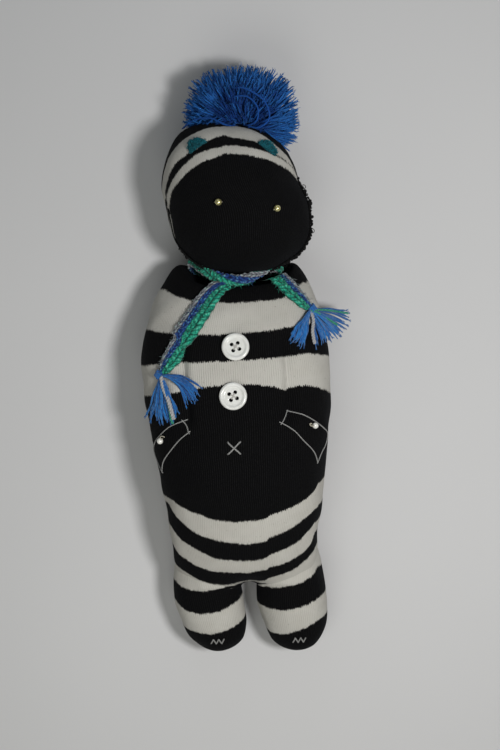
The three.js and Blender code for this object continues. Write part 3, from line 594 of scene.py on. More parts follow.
def noise(tree, place, scale, detail):
    """Cloudy noise from 0 to 1, with so many clouds to the metre and so many finer layers."""
    made = wire(tree, "ShaderNodeTexNoise", {"Vector": place, "Scale": scale, "Detail": detail})
    return Channel(tree, made.outputs[0])


def attribute(tree, name):
    """A value that the mesh carries at its points."""
    made = wire(tree, "ShaderNodeAttribute", attribute_name=name)
    return Channel(tree, made.outputs["Fac"])


def stitch_map(tree):
    """The mesh's map: stitches or turns across, and rows or millimetres along."""
    return Channel(tree, wire(tree, "ShaderNodeUVMap", uv_map="stitches").outputs[0])


def parts_of(vector):
    """A vector's three parts as channels."""
    made = wire(vector.tree, "ShaderNodeSeparateXYZ", {0: vector})
    return [Channel(vector.tree, each) for each in made.outputs]


def group(name, inputs, outputs):
    """An empty shader node group with named inputs (name, kind, value) and outputs (name, kind):
    its tree, its inputs as channels, and its output sockets."""
    tree = bpy.data.node_groups.new(name, "ShaderNodeTree")
    for label, kind, value in inputs:
        socket = tree.interface.new_socket(label, in_out="INPUT", socket_type="NodeSocket" + kind)
        if value is not None:
            socket.default_value = value
    for label, kind in outputs:
        tree.interface.new_socket(label, in_out="OUTPUT", socket_type="NodeSocket" + kind)
    given = {each.name: Channel(tree, each) for each in tree.nodes.new("NodeGroupInput").outputs}
    return tree, given, tree.nodes.new("NodeGroupOutput").inputs


def use(tree, which, **inputs):
    """A group placed in a material, and its outputs as channels."""
    inputs = {key.replace("_", " "): value for key, value in inputs.items()}
    made = wire(tree, "ShaderNodeGroup", inputs, node_tree=which)
    return {each.name: Channel(tree, each) for each in made.outputs}


def sock_knit_group():
    """Fine jersey: V stitches in columns, stripes whose edges step from stitch to stitch, painted shade
    between the light columns and a painted sheen on the dark crests.
    """
    tree, given, made = group(
        "sock_knit",
        [("Stitches", "Vector", None), ("Edge", "Float", 0.0), ("Light yarn", "Color", None),
         ("Dark yarn", "Color", None), ("Place", "Vector", None)],
        [("Color", "Color"), ("Height", "Float"), ("Light", "Float")],
    )
    place = given["Place"]
    across, along, _ = parts_of(given["Stitches"])
    drift = noise(tree, place, 190.0, 2.0) - 0.5
    column = across + drift * 0.35
    side = abs(column.math("FRACT") - 0.5) * 2.0
    wave = ((along + side * -0.55) * TURN).math("SINE")
    loops = (1.0 - side.math("POWER", 3.0)) * wave.math("MULTIPLY_ADD", 0.12, 0.88)
    fuzz = noise(tree, place, 2600.0, 3.0)
    # each column of stitches, each half of a stitch and the wool itself move a stripe's edge
    own = wire(tree, "ShaderNodeTexWhiteNoise", {"W": column.math("FLOOR")}, noise_dimensions="1D")
    own = (Channel(tree, own.outputs[0]) - 0.5) * 0.6
    jag = (side - 0.5).math("MULTIPLY_ADD", 0.9, own)
    rough = (noise(tree, place, 1100.0, 2.0) - 0.5) * 1.6
    light = (given["Edge"] + (jag + rough)).ramp(-0.25, 0.25)
    # the light yarn has painted shade between the columns, and is darker in blotches and at a few specks
    groove = fuzz.math("MULTIPLY_ADD", 0.35, side).ramp(0.75, 1.15)
    groove = groove * drift.math("MULTIPLY_ADD", 1.2, 0.32)
    light_yarn = mixed(tree, groove, given["Light yarn"], (0.24, 0.22, 0.195))
    blotch = noise(tree, place, 60.0, 3.0).ramp(0.3, 0.75, "LINEAR")
    light_yarn = mixed(tree, blotch * 0.25, light_yarn, (0.4, 0.375, 0.34))
    speck = noise(tree, place, 900.0, 1.0).ramp(0.71, 0.79)
    light_yarn = mixed(tree, speck * 0.5, light_yarn, (0.16, 0.14, 0.12))
    # the dark yarn gets a painted sheen on the crests of its stitches
    crest_sheen = ((1.0 - side) * fuzz).ramp(0.25, 0.7)
    dark_yarn = mixed(tree, crest_sheen, given["Dark yarn"], (0.0135, 0.0135, 0.0145))
    feed(tree, made["Color"], mixed(tree, light, dark_yarn, light_yarn))
    feed(tree, made["Height"], loops + fuzz * 0.45)
    feed(tree, made["Light"], light)
    return tree


def plied_yarn_group():
    """Spun yarn: slanted ply lines round a strand, painted as shade in the grooves between the plies, paler
    fuzz, and a tone for each strand.
    """
    tree, given, made = group(
        "plied_yarn",
        [("Strand", "Vector", None), ("Place", "Vector", None), ("Deep", "Color", None),
         ("Bright", "Color", None), ("Tone", "Float", 0.5), ("Plies", "Float", 2.0),
         ("Pitch", "Float", 3.0)],
        [("Color", "Color"), ("Height", "Float")],
    )
    around, along, _ = parts_of(given["Strand"])
    turns = around * given["Plies"] + along / given["Pitch"]
    ply = abs((turns * math.pi).math("SINE"))
    fibre = noise(tree, given["Place"], 1500.0, 4.0)
    # the grooves between the plies get painted shade: the colour goes towards Deep there
    tone = (ply * 0.25 + fibre * 0.5) + (given["Tone"] - 0.45)
    share = tone.ramp(0.0, 1.0, "LINEAR")
    feed(tree, made["Color"], mixed(tree, share, given["Deep"], given["Bright"]))
    feed(tree, made["Height"], ply + fibre * 0.6)
    return tree


def grain_group():
    """Faint unevenness: one noise as a mask for tone, roughness and height."""
    tree, given, made = group(
        "grain",
        [("Place", "Vector", None), ("Scale", "Float", 300.0), ("Low", "Float", 0.0),
         ("High", "Float", 1.0)],
        [("Mask", "Float"), ("Value", "Float")],
    )
    mask = noise(tree, given["Place"], given["Scale"], 4.0).ramp(0.3, 0.7)
    feed(tree, made["Mask"], mask)
    feed(tree, made["Value"], mask.spread(given["Low"], given["High"]))
    return tree


SOCK_KNIT = sock_knit_group()
PLIED_YARN = plied_yarn_group()
GRAIN = grain_group()

# Materials


def blank_material(name):
    """A new material, its tree, its shader's sockets, and the place on the piece."""
    made = bpy.data.materials.new(name)
    made.use_nodes = True
    tree = made.node_tree
    tree.nodes.clear()
    surface = tree.nodes.new("ShaderNodeBsdfPrincipled")
    output = tree.nodes.new("ShaderNodeOutputMaterial")
    tree.links.new(surface.outputs[0], output.inputs[0])
    place = Channel(tree, wire(tree, "ShaderNodeTexCoord").outputs["Object"])
    return made, tree, surface.inputs, place


def finished(tree, sockets, color, roughness, height, strength, depth):
    """Colour, roughness, and a bump of some strength whose full height is a depth in metres."""
    feed(tree, sockets["Base Color"], color)
    feed(tree, sockets["Roughness"], roughness)
    bump = {"Strength": strength, "Distance": depth, "Height": height}
    feed(tree, sockets["Normal"], Channel(tree, wire(tree, "ShaderNodeBump", bump).outputs[0]))


def fuzzy(sockets, sheen, tint=(1, 1, 1), specular=0.15):
    """The soft sheen of loose fibres over a surface that hardly shines."""
    sockets["Sheen Weight"].default_value = sheen
    sockets["Sheen Roughness"].default_value = 0.55
    sockets["Sheen Tint"].default_value = (*tint, 1)
    sockets["Specular IOR Level"].default_value = specular


def sock_material():
    """Black and off-white jersey, a little shinier where it is black."""
    made, tree, sockets, place = blank_material("striped_sock_knit")
    knit = use(tree, SOCK_KNIT, Stitches=stitch_map(tree), Edge=attribute(tree, "edge"), Place=place,
               Light_yarn=(0.526, 0.516, 0.484), Dark_yarn=(0.003, 0.003, 0.0033))
    rough = knit["Light"].spread(0.82, 0.93)
    color, height = knit["Color"], knit["Height"]
    finished(tree, sockets, color, rough, height, strength=0.55, depth=0.00035)
    fuzzy(sockets, sheen=0.012, tint=(0.8, 0.85, 1), specular=0.03)
    return made


def yarn_material(name, deep, bright, pitch=3.0, sheen=0.25):
    """Two-ply yarn whose strands differ in tone by their tint."""
    made, tree, sockets, place = blank_material(name)
    tone = attribute(tree, "tint") * 0.5 + 0.25
    yarn = use(tree, PLIED_YARN, Strand=stitch_map(tree), Place=place, Deep=deep, Bright=bright,
               Tone=tone, Plies=2.0, Pitch=pitch)
    finished(tree, sockets, yarn["Color"], 0.85, yarn["Height"], strength=0.5, depth=0.0003)
    fuzzy(sockets, sheen)
    return made


def mane_material():
    """Blue yarn with painted shade between the strands towards the root, and paler at the frayed tips."""
    made, tree, sockets, place = blank_material("blue_mane_yarn")
    tint, along = attribute(tree, "tint"), attribute(tree, "along")
    yarn = use(tree, PLIED_YARN, Strand=stitch_map(tree), Place=place, Deep=(0.001, 0.014, 0.1),
               Bright=(0.008, 0.09, 0.44), Tone=tint * 0.5 + 0.22, Plies=2.0, Pitch=2.6)
    tip = along.ramp(0.5, 1.0) * tint.ramp(0.0, 0.5)
    color = mixed(tree, tip * 0.55, yarn["Color"], (0.028, 0.19, 0.56))
    # painted shade between the strands, deepest at the root
    color = mixed(tree, along.ramp(0.5, 0.0) * 0.75, color, (0.0015, 0.01, 0.06))
    finished(tree, sockets, color, 0.8, yarn["Height"], strength=0.5, depth=0.0003)
    fuzzy(sockets, sheen=0.16, tint=(0.25, 0.55, 1))
    return made


SCARF_GREY = (0.31, 0.315, 0.35)
SCARF_BLUE = (0.012, 0.055, 0.28)
SCARF_GREEN = (0.012, 0.36, 0.235)


def scarf_material(name, rolled):
    """Columns of one colour each, grey, blue, green and green, with slanted strands inside, painted shade
    in the gaps between the strands, a painted highlight on their crests, darker specks and painted glints.
    The rolled part has its columns in an attribute, because they close round it."""
    made, tree, sockets, place = blank_material(name)
    column = attribute(tree, "column") if rolled else parts_of(stitch_map(tree))[0]
    column = column + (noise(tree, place, 700.0, 3.0) - 0.5) * 0.5
    yarn = mixed(tree, column.ramp(0.9, 1.05), SCARF_GREY, SCARF_BLUE)
    yarn = mixed(tree, column.ramp(1.9, 2.05), yarn, SCARF_GREEN)
    fibre = noise(tree, place, 1800.0, 4.0)
    depth = attribute(tree, "strand") * 0.75 + fibre * 0.5
    # dark is the yarn as painted shade, laid in the gaps between the strands; bright is it as a painted
    # highlight, laid on their crests
    dark = mixed(tree, 1.0, yarn, (0.07, 0.1, 0.13), "MULTIPLY")
    bright = mixed(tree, 0.16, yarn, (0.5, 0.9, 0.8))
    color = mixed(tree, depth.ramp(0.25, 0.72), dark, yarn)
    color = mixed(tree, depth.ramp(0.8, 1.1), color, bright)
    # random noise gives darker specks, and on raised fibres painted glints of light
    glint = noise(tree, place, 1050.0, 2.0)
    color = mixed(tree, glint.ramp(0.48, 0.38) * 0.6, color, dark)
    glint = glint.ramp(0.5, 0.62) * depth.ramp(0.5, 0.9)
    color = mixed(tree, glint * 0.36, color, (0.3, 0.85, 0.66))
    finished(tree, sockets, color, 0.85, fibre, strength=0.8, depth=0.0005)
    fuzzy(sockets, sheen=0.16)
    return made


def boucle_material():
    """Teal loops, each of its own tone."""
    made, tree, sockets, place = blank_material("teal_boucle")
    mask = use(tree, GRAIN, Place=place, Scale=1300.0)["Mask"]
    level = mask * 0.45 + attribute(tree, "tint") * 0.75
    color = mixed(tree, level, (0.0005, 0.01, 0.016), (0.007, 0.17, 0.225))
    finished(tree, sockets, color, 0.9, mask, strength=0.8, depth=0.0004)
    fuzzy(sockets, sheen=0.2, tint=(0.3, 0.9, 1))
    return made


def gloss_material(name, color, worn, roughness, metallic=0.0, coat=0.0):
    """A smooth finish of two near tones, whose roughness runs from 0.8 to 1.3 of its value."""
    made, tree, sockets, place = blank_material(name)
    grain = use(tree, GRAIN, Place=place, Scale=420.0, Low=roughness * 0.8, High=roughness * 1.3)
    color = mixed(tree, grain["Mask"], color, worn)
    finished(tree, sockets, color, grain["Value"], grain["Mask"], strength=0.08, depth=0.0002)
    sockets["Metallic"].default_value = metallic
    sockets["Coat Weight"].default_value = coat
    sockets["Coat Roughness"].default_value = 0.08
    return made


def floor_material():
    """A matt table top of two near greys."""
    made, tree, sockets, place = blank_material("pale_table")
    mask = use(tree, GRAIN, Place=place, Scale=3.0)["Mask"]
    feed(tree, sockets["Base Color"], mixed(tree, mask, (0.6, 0.6, 0.615), (0.62, 0.62, 0.635)))
    sockets["Roughness"].default_value = 0.7
    sockets["Specular IOR Level"].default_value = 0.2
    return made


SOCK = sock_material()
MANE = mane_material()
SCARF = scarf_material("striped_scarf_knit", rolled=False)
SCARF_ROPE = scarf_material("rolled_scarf_knit", rolled=True)
BOUCLE = boucle_material()
FLOOR = floor_material()
BLACK_KNOTS = yarn_material("black_linked_yarn", (0.002, 0.002, 0.0022), (0.008, 0.008, 0.009),
                            sheen=0.01)
TASSEL = yarn_material("blue_tassel_yarn", (0.006, 0.05, 0.24), (0.022, 0.21, 0.56))
TASSEL_GREY = yarn_material("grey_tassel_yarn", (0.2, 0.2, 0.22), (0.6, 0.6, 0.6))
TASSEL_GREEN = yarn_material("green_tassel_yarn", (0.005, 0.1, 0.06), (0.04, 0.42, 0.3))
GREY_THREAD = yarn_material("grey_sewing_thread", (0.14, 0.14, 0.145),
                            (0.46, 0.46, 0.45), pitch=0.9, sheen=0.1)
# the quilting thread, coloured near black so that it also stands for the painted shade of the crease it
# lies in
CREASE_SHADE_THREAD = yarn_material("crease_shade_thread", (0.03, 0.03, 0.03),
                           (0.11, 0.11, 0.11), pitch=0.9, sheen=0.05)
WHITE_THREAD = yarn_material("white_sewing_thread", (0.3, 0.27, 0.2),
                             (0.66, 0.62, 0.52), pitch=0.9, sheen=0.1)
BUTTON_THREAD = yarn_material("button_sewing_thread", (0.4, 0.39, 0.37),
                              (0.8, 0.79, 0.75), pitch=0.9, sheen=0.1)
BUTTON = gloss_material("white_button_plastic", (0.78, 0.785, 0.775), (0.72, 0.725, 0.7),
                        roughness=0.2, coat=0.4)
PEARL = gloss_material("pearl_bead", (0.85, 0.84, 0.8), (0.75, 0.74, 0.7), roughness=0.18, coat=0.6)
GOLD = gloss_material("gold_bead_finish", (0.83, 0.78, 0.42), (0.6, 0.53, 0.22),
                      roughness=0.24, metallic=0.85)

# Stripes: boundaries as (degrees round from the front, y), read at the photograph's stripes and
# carried on round the back. The knit is black above the first one and changes at each.
SHOULDER_STRIPES = [
    [(-180, 56), (-90, 60.5), (-60, 60), (-44, 57), (-25, 54), (-8, 52.5), (1, 51.5), (9, 51.8),
     (26, 52), (35, 53), (60, 60), (90, 61), (180, 56)],
    [(-180, 37), (-68, 38.5), (-49, 37.5), (-23, 35.5), (0, 35), (20, 35.8), (30, 36.8), (62, 38.5),
     (180, 37)],
    [(-180, 18), (-74, 18.8), (-32, 20.8), (0, 20.8), (18, 21.2), (30, 21.2), (39, 22.2), (49, 21.8),
     (61, 20.8), (93, 18), (180, 18)],
    [(-180, 0), (-110, 1), (-70, 2.2), (-25, 5.8), (-18, 7), (-9, 8), (1, 8.2), (11, 7.2), (19, 5.8),
     (28, 3.2), (31, 4.5), (37, 5.2), (46, 5), (60, 2), (83, -2), (120, -1), (180, 0)],
]
BACK_STRIPES = [[(-180, -17), (180, -17)], [(-180, -34), (180, -34)]]
BELLY_STRIPES = [
    [(-180, -50), (-93, -51.8), (-56, -55), (-39, -60.5), (-21, -64.2), (-7, -66.2), (0, -66.5), (9, -66),
     (22, -63.5), (39, -59.8), (53, -55.8), (64, -50.8), (95, -48), (180, -50)],
    [(-180, -61), (-71, -57.5), (-52, -66.5), (-35, -72.8), (-18, -77.2), (0, -80), (11, -79.2),
     (28, -75.5), (42, -71.5), (56, -66.5), (67, -63.8), (95, -60), (180, -61)],
    [(-180, -72), (-95, -67), (-70, -71), (-55, -77.5), (-37, -83.2), (-20, -88), (0, -91), (10, -90.2),
     (28, -86), (44, -82), (57, -76.8), (64, -74), (95, -69), (180, -72)],
    [(-180, -83), (-95, -79), (-71, -83.2), (-59, -87.8), (-40, -93.2), (-22, -97.2), (0, -99), (24, -96),
     (45, -91.5), (59, -87.2), (69, -80), (95, -78), (180, -83)],
    [(-180, -95), (-95, -91.5), (-80, -94.2), (-61, -98.5), (-45, -102), (-30, -104.7), (-14, -107.4),
     (0, -109.6), (9, -108), (17, -104.8), (29, -102), (45, -98.2), (60, -93.8), (76, -88.8), (95, -87),
     (180, -95)],
    [(-180, -104), (-80, -103), (-60, -106), (-45, -108), (-30, -109.2), (-12, -109.2), (0, -110.6),
     (12, -109.6), (30, -109.4), (45, -107), (60, -102.5), (80, -100), (180, -104)],
]
BELLY_JOG = (14.5, 1.1)  # where the tube's rows step by one stitch: degrees, millimetres
# how far round the heel pouch reaches, and more at its middle; where that is, and half its length
GORE_DEGREES, GORE_BULGE = 94, 30
HEEL_MIDDLE, HEEL_HALF = -25, 30
CHEST_END, HIP = -30, -100  # where the belly's stripes take over, and then the legs'
DEGREE = 0.6  # millimetres round for each degree, roughly
LEFT_LEG_STRIPES = [
    [(-180, -104), (-68, -106.5), (-37, -109.7), (-4, -111), (28, -109.6), (60, -106), (100, -102),
     (180, -103)],
    [(-180, -116), (-68, -118.6), (-40, -123), (-14, -124.9), (17, -124.1), (42, -121.3), (75, -117.8),
     (180, -116)],
    [(-180, -130), (-78, -134.3), (-35, -136.7), (-3, -137.8), (34, -135.1), (63, -132.3), (93, -128.5),
     (180, -130)],
]
RIGHT_LEG_STRIPES = [
    [(-180, -104), (-88, -109.5), (-54, -111.7), (-23, -111.2), (13, -108.9), (39, -105.5), (57, -102.1),
     (180, -104)],
    [(-180, -117), (-86, -122.7), (-44, -124.5), (-16, -125.1), (16, -123), (51, -119.1), (88, -116.9),
     (180, -117)],
    [(-180, -131), (-83, -138), (-54, -140.3), (-25, -140.2), (13, -136.7), (41, -133.1), (86, -130.3),
     (180, -131)],
]
# On the head the rings lie across a slope, by height less depth, at each x
HEAD_RINGS = [
    [(-43, 92), (-35.5, 92), (-32.7, 93.2), (-30.3, 93.9), (-26.6, 93.4), (-20.8, 94.7), (-15.2, 95.3),
     (-9.8, 95.9), (-2.3, 98.7), (6.2, 98.6), (15.1, 98.6), (25.7, 99.4), (31, 100.9), (36.5, 104.7),
     (43, 112)],
    [(-43, 98), (-32.6, 98.8), (-30.6, 99.3), (-26.4, 100), (-20.6, 102.2), (-15, 103.3), (-9.6, 104.7),
     (-1.6, 106.7), (4.8, 106.8), (10.1, 106.2), (15.3, 105.3), (20.6, 105.7), (25.9, 106.2), (31.3, 106.6),
     (33.9, 107.1), (37, 109.6), (43, 114)],
    [(-43, 99.5), (-35.5, 101), (-33.7, 103.5), (-31, 106.1), (-26.1, 108), (-20.4, 107.6), (-14.9, 108.4),
     (-9.4, 113.7), (-1.3, 118.3), (5, 115.6), (10.3, 114.7), (15.6, 113.5), (18.1, 110.9), (20.7, 109),
     (26, 107.9), (31.3, 108), (34, 108.2), (37, 110.5), (43, 114.5)],
    [(-43, 110), (-36.5, 112), (-34.7, 117), (-31.4, 121), (-26, 123), (-20.3, 124.5), (-14.7, 127.4),
     (-9.3, 129.8), (-1.7, 133.6), (5.3, 135.2), (10.7, 133), (16, 130), (21.3, 126.6), (26.5, 121.3),
     (31.6, 115.4), (34.7, 111.9), (36.7, 110.6), (43, 114.8)],
    [(-43, 136), (-20, 146), (3, 147), (25, 145), (43, 138)],
    [(-43, 150), (3, 156), (43, 151)],
]
HEAD_JOG = (-1.8, 1.2)  # where the rows step on the head: millimetres across and up
HEAD_BACK_RINGS = [[(-40, 68), (45, 68)], [(-40, 82), (45, 82)]]
NAPE = 96  # the slope's level below which the back has rings of its own
CHEEK, CHEEK_DIP = (-31, -25), 12  # where the toe cap's edge rises over the left cheek, and by how much


def stripe_edges(boundaries, across, level, first_light=False, jog=None):
    """Signed distance to the nearest boundary, above 0 where the knit is light. Each boundary
    gives a level for each place across, and the first is the highest."""
    levels = np.stack([np.interp(across, *zip(*line)) for line in boundaries])
    if jog:
        levels = levels + jog[1] * np.where(across > jog[0], 0.5, -0.5)
    gap = levels - level
    passed = (gap > 0).sum(0)
    light = (passed % 2 == 0) == first_light
    return np.where(light, 1, -1) * np.abs(gap).min(0)


def meet(front, back, gore):
    """front where gore is below 0 and back where it is above, with an edge along the line
    between them wherever their colours differ."""
    value = np.where(gore < 0, front, back)
    differ = np.sign(front) != np.sign(back)
    return np.where(differ, np.sign(value) * np.minimum(np.abs(value), np.abs(gore)), value)


def trunk_stripes(degrees, y):
    """The front's stripes, and behind the heel pouch the back's. The pouch's edge is at
    94 + 30 (1 - t^2) degrees, where t goes from -1 to 1 along it."""
    front = np.where(
        y > CHEST_END,
        stripe_edges(SHOULDER_STRIPES, degrees, y),
        stripe_edges(BELLY_STRIPES, degrees, y, jog=BELLY_JOG),
    )
    back = stripe_edges(SHOULDER_STRIPES + BACK_STRIPES + BELLY_STRIPES, degrees, y)
    cup = np.maximum(1 - ((y - HEEL_MIDDLE) / HEEL_HALF) ** 2, 0)
    gore = np.abs(degrees) - GORE_DEGREES - GORE_BULGE * cup
    return meet(front, back, gore * DEGREE)


def leg_stripes(leg, boundaries, place, degrees):
    """The trunk's last stripe as far as the hip, and the leg's own below it."""
    own = stripe_edges(boundaries, degrees, place[..., 1], first_light=True)
    round_trunk = trunk.degrees_of(place)
    of_trunk = stripe_edges(BELLY_STRIPES[4:5], round_trunk, place[..., 1], jog=BELLY_JOG)
    light = np.minimum(own, np.maximum(of_trunk, 0.01))
    joined = np.where(of_trunk < 0, of_trunk, np.where(own > 0, light, own))
    return np.where(place[..., 1] > HIP, of_trunk, joined)


def head_stripes(place, normal):
    """Rings across the slope, with the black toe cap in front of the linked seam."""
    slope = place[..., 1] - (place[..., 2] - HEAD_MIDDLE[2])
    lean = normal @ np.array([0, 1, -1]) / math.sqrt(2)
    scale = 1 / (math.sqrt(2) * np.sqrt(np.clip(1 - lean**2, 0.1, 1)))
    x = place[..., 0]
    step = HEAD_JOG[1] * np.where(x > HEAD_JOG[0], 0.5, -0.5)
    front = stripe_edges(HEAD_RINGS[::-1], x, slope - step) * scale
    back = stripe_edges(HEAD_RINGS[::-1] + HEAD_BACK_RINGS[::-1], x, slope)
    # the toe cap reaches past the linked seam, but for the left cheek
    seam = SEAM_HEIGHT - CHEEK_DIP * ease(*CHEEK, x)
    return meet(front, -np.where(slope < NAPE, back, -front), seam - place[..., 2])


def even_rows(body, step):
    """Heights whose rings are evenly spaced along the body's skin."""
    turn = np.linspace(0, math.pi, 4001)
    y = (body.top + body.bottom) / 2 + (body.top - body.bottom) / 2 * np.cos(turn)
    half, middle, rise, _ = body.measure(y)
    run = np.sqrt(np.diff(y) ** 2 + (np.diff(half) ** 2 + np.diff(rise) ** 2) / 2)
    reach = np.concatenate([[0], np.cumsum(run)])
    wanted = np.linspace(0.3, reach[-1] - 0.3, int(reach[-1] / step))
    return np.interp(wanted, reach, y), wanted


def knit_map(P, reach, wales):
    """Stitch coordinates: columns by the share of each ring's length, rows by the way along."""
    around = np.linalg.norm(np.roll(P, -1, 1) - P, axis=-1)
    share = np.concatenate([np.zeros((len(P), 1)), np.cumsum(around, 1)], 1)
    share /= share[:, -1:]
    return (share * wales)[None], np.broadcast_to((reach / COURSE)[:, None], share.shape)[None]


def melt(place, normal, others):
    """Fills the crease where another body comes out of this one: a point moves out by a
    quarter of the reach times the square of its closeness to the other's skin, and less where
    both skins face the same way and towards the sides. What lies on the table stays there."""
    reach = 9
    inside = 1 - ease(26, 34, np.abs(place[..., 0]))
    for other in others:
        value, slope = other.swelling(place)
        steep = np.maximum(np.linalg.norm(slope, axis=-1), 1e-4)
        near = np.clip(1 - np.abs(value - 1) / steep / reach, 0, 1) * (value < 1.6) * inside
        apart = np.clip(1.4 * (1 - (normal * slope).sum(-1) / steep), 0, 1)
        place = place + normal * (near**2 * apart * reach / 4)[..., None]
    place[..., 2] = np.maximum(place[..., 2], TABLE)
    return place


def shoulder_press(place, depth, hollow=0.0, soft=2.0):
    """The head and the scarf press a bowl into the shoulders: y stays below the bowl's shelf,
    which is deeper by a hollow near the neck. The softer the press, the wider its rim."""
    rim, far = 39, 200
    radius = np.hypot(place[..., 0] - NECK[0], place[..., 2] - NECK[2])
    shelf = head_underside(np.minimum(radius, rim)) - depth - hollow * (1 - ease(25, 33, radius))
    shelf = np.where(radius > rim, far, shelf)
    over = place[..., 1] - shelf
    pressed = place[..., 1] - soft * np.logaddexp(0, over / soft)
    place = place.copy()
    place[..., 1] = np.where(over > -12, pressed, place[..., 1])
    return place


def skin_grid(body, columns, step):
    """A level and degrees for each point of a skin, and how far along the skin each ring is."""
    y, reach = even_rows(body, step)
    degrees = np.arange(columns) * 360 / columns - 180
    return np.meshgrid(y, degrees, indexing="ij"), reach


def trunk_skin():
    """The trunk's sock: its tube and arms, melted into the legs and pressed by the head."""
    (y, degrees), reach = skin_grid(trunk, columns=236, step=1.15)
    P = trunk.point(degrees, y)
    P = melt(P, trunk.normal(degrees, y), [left_leg, right_leg])
    P = shoulder_press(P, depth=0.6, hollow=3.0)
    # the crotch is drawn up between the legs
    P[..., 1] += 2.5 * np.exp(-((P[..., 0] / 9) ** 2)) * ease(-97, -110, P[..., 1])
    edge = trunk_stripes(degrees, y)
    U, V = knit_map(P, reach, TRUNK_WALES)
    surface = rings(P[None], U, V, {"edge": edge[None]})
    made = piece("trunk_skin", surface, SOCK, "torso",
                 ("trunk_cover", "trunk_stuffing", "left_arm_stuffing", "right_arm_stuffing"))


def leg_skin(side, leg, boundaries):
    """A leg's sock, melted into the trunk, striped like the trunk above the hip and like the leg below it.
    """
    (y, degrees), reach = skin_grid(leg, columns=112, step=1.1)
    P = leg.point(degrees, y)
    P = melt(P, leg.normal(degrees, y), [trunk])
    edge = leg_stripes(leg, boundaries, P, degrees)
    U, V = knit_map(P, reach, LEG_WALES)
    surface = rings(P[None], U, V, {"edge": edge[None]})
    made = piece(f"{side}_leg_skin", surface, SOCK, None,
                 (f"{side}_leg_cover", f"{side}_leg_stuffing"))
    x = leg.measure(np.array(HINGE))[3] * MM
    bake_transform(made)


def seam_level(y):
    """The linked seam's height, which sags under the chin by the square of the way down."""
    return SEAM_HEIGHT - SEAM_SAG * np.clip((HEAD_MIDDLE[1] - y) / HEAD_HALF[1], 0, 1) ** 2


def head_skin():
    """The head's sock, with a groove of depth 0.7 exp(-(z from the seam / 1.6)^2)."""
    (y, degrees), reach = skin_grid(head, columns=220, step=1.1)
    P, normal = head.point(degrees, y), head.normal(degrees, y)
    # the groove fades out towards the crown
    seam = np.exp(-(((P[..., 2] - seam_level(P[..., 1])) / 1.6) ** 2)) * ease(122, 108, P[..., 1])
    P = P - normal * (0.7 * seam)[..., None]
    edge = head_stripes(P, normal)
    U, V = knit_map(P, reach, HEAD_WALES)
    surface = rings(P[None], U, V, {"edge": edge[None]})
    made = piece("head_skin", surface, SOCK, "head", ("head_cover", "head_stuffing"))


trunk_skin()
leg_skin("left", left_leg, LEFT_LEG_STRIPES)
leg_skin("right", right_leg, RIGHT_LEG_STRIPES)
head_skin()


def gathered_neck():
    """The drawn-in ends of the socks: a ball with 16 pleats, radius 7.9 + 0.55 cos(16 turn)."""
    rows, columns, pleats = 30, 96, 16
    rise = np.linspace(0.06, math.pi - 0.06, rows)[:, None]
    turn = round_turn(columns)[None]
    size = 7.9 + 0.55 * np.cos(pleats * turn) * np.sin(rise)
    x = NECK[0] + size * np.sin(rise) * np.cos(turn)
    z = NECK[2] + size * np.sin(rise) * np.sin(turn)
    P = np.stack([x, NECK[1] + size * np.cos(rise), z], -1)
    U, V = knit_map(P, rise[:, 0] * 8, NECK_WALES)
    black = np.full((1, rows, columns), -5.0)
    surface = rings(P[None], U, V, {"edge": black})
    piece("neck_pleats", surface, SOCK, "neck", ("neck_gather",))


gathered_neck()

random = np.random.default_rng(7)


SEAM_PLACES, SEAM_BARE = 190, 34  # places along the seam, of which the left cheek's have no knots
SEAM_STARTS, SEAM_ENDS = 3 / 40.6, -10 / 40.6  # the two ends' share of the way down from the head's middle


def seam_path():
    """Where the head's skin is at the seam's level, from the left cheek round the chin to the
    right one, and the direction out of the skin there."""
    turn = np.linspace(-math.acos(SEAM_STARTS), math.acos(SEAM_ENDS), SEAM_PLACES)
    down = HEAD_MIDDLE[1] - HEAD_HALF[1] * np.cos(turn)
    level = (seam_level(down) - HEAD_MIDDLE[2]) / HEAD_HALF[2]
    drop = HEAD_HALF[1] * (1 - level**CHIN_POWER) ** (1 / CHIN_POWER)
    y = HEAD_MIDDLE[1] - drop * np.cos(turn)
    size = head.measure(y)[2] / HEAD_HALF[2]
    across = np.sign(turn) * np.sqrt(np.maximum(size**2 - level**2, 0))
    degrees = np.degrees(np.arctan2(across, level))
    return head.point(degrees, y, np.full(SEAM_PLACES, 0.2)), head.normal(degrees, y)


def blobs(places, sizes, around=7):
    """Small knots: rings of a sphere, squashed and turned each its own way."""
    rise = np.linspace(0.35, math.pi - 0.35, 5)
    ball = turned(np.sin(rise), np.cos(rise), around)
    spin = np.linalg.qr(random.normal(size=(len(places), 3, 3)))[0]
    spin[:, :, 0] *= np.sign(np.linalg.det(spin))[:, None]
    P = np.einsum("nij,rcj->nrci", spin * sizes[:, None, :], ball) + places[:, None, None]
    return plain_rings(P, random.random((len(places), 1, 1)))


def yarn_loops(base, ahead, out, size, radius, around, turns, steps):
    """Open loops standing on a skin: base + size * (ahead sin(turn) + out (1 - cos(turn)))."""
    turn = np.linspace(0, TURN * turns, steps)
    loop = ahead[:, None] * np.sin(turn)[:, None] + out[:, None] * (1 - np.cos(turn))[:, None]
    return tubes(base[:, None] + loop * size, radius, around, random.random(len(base)))


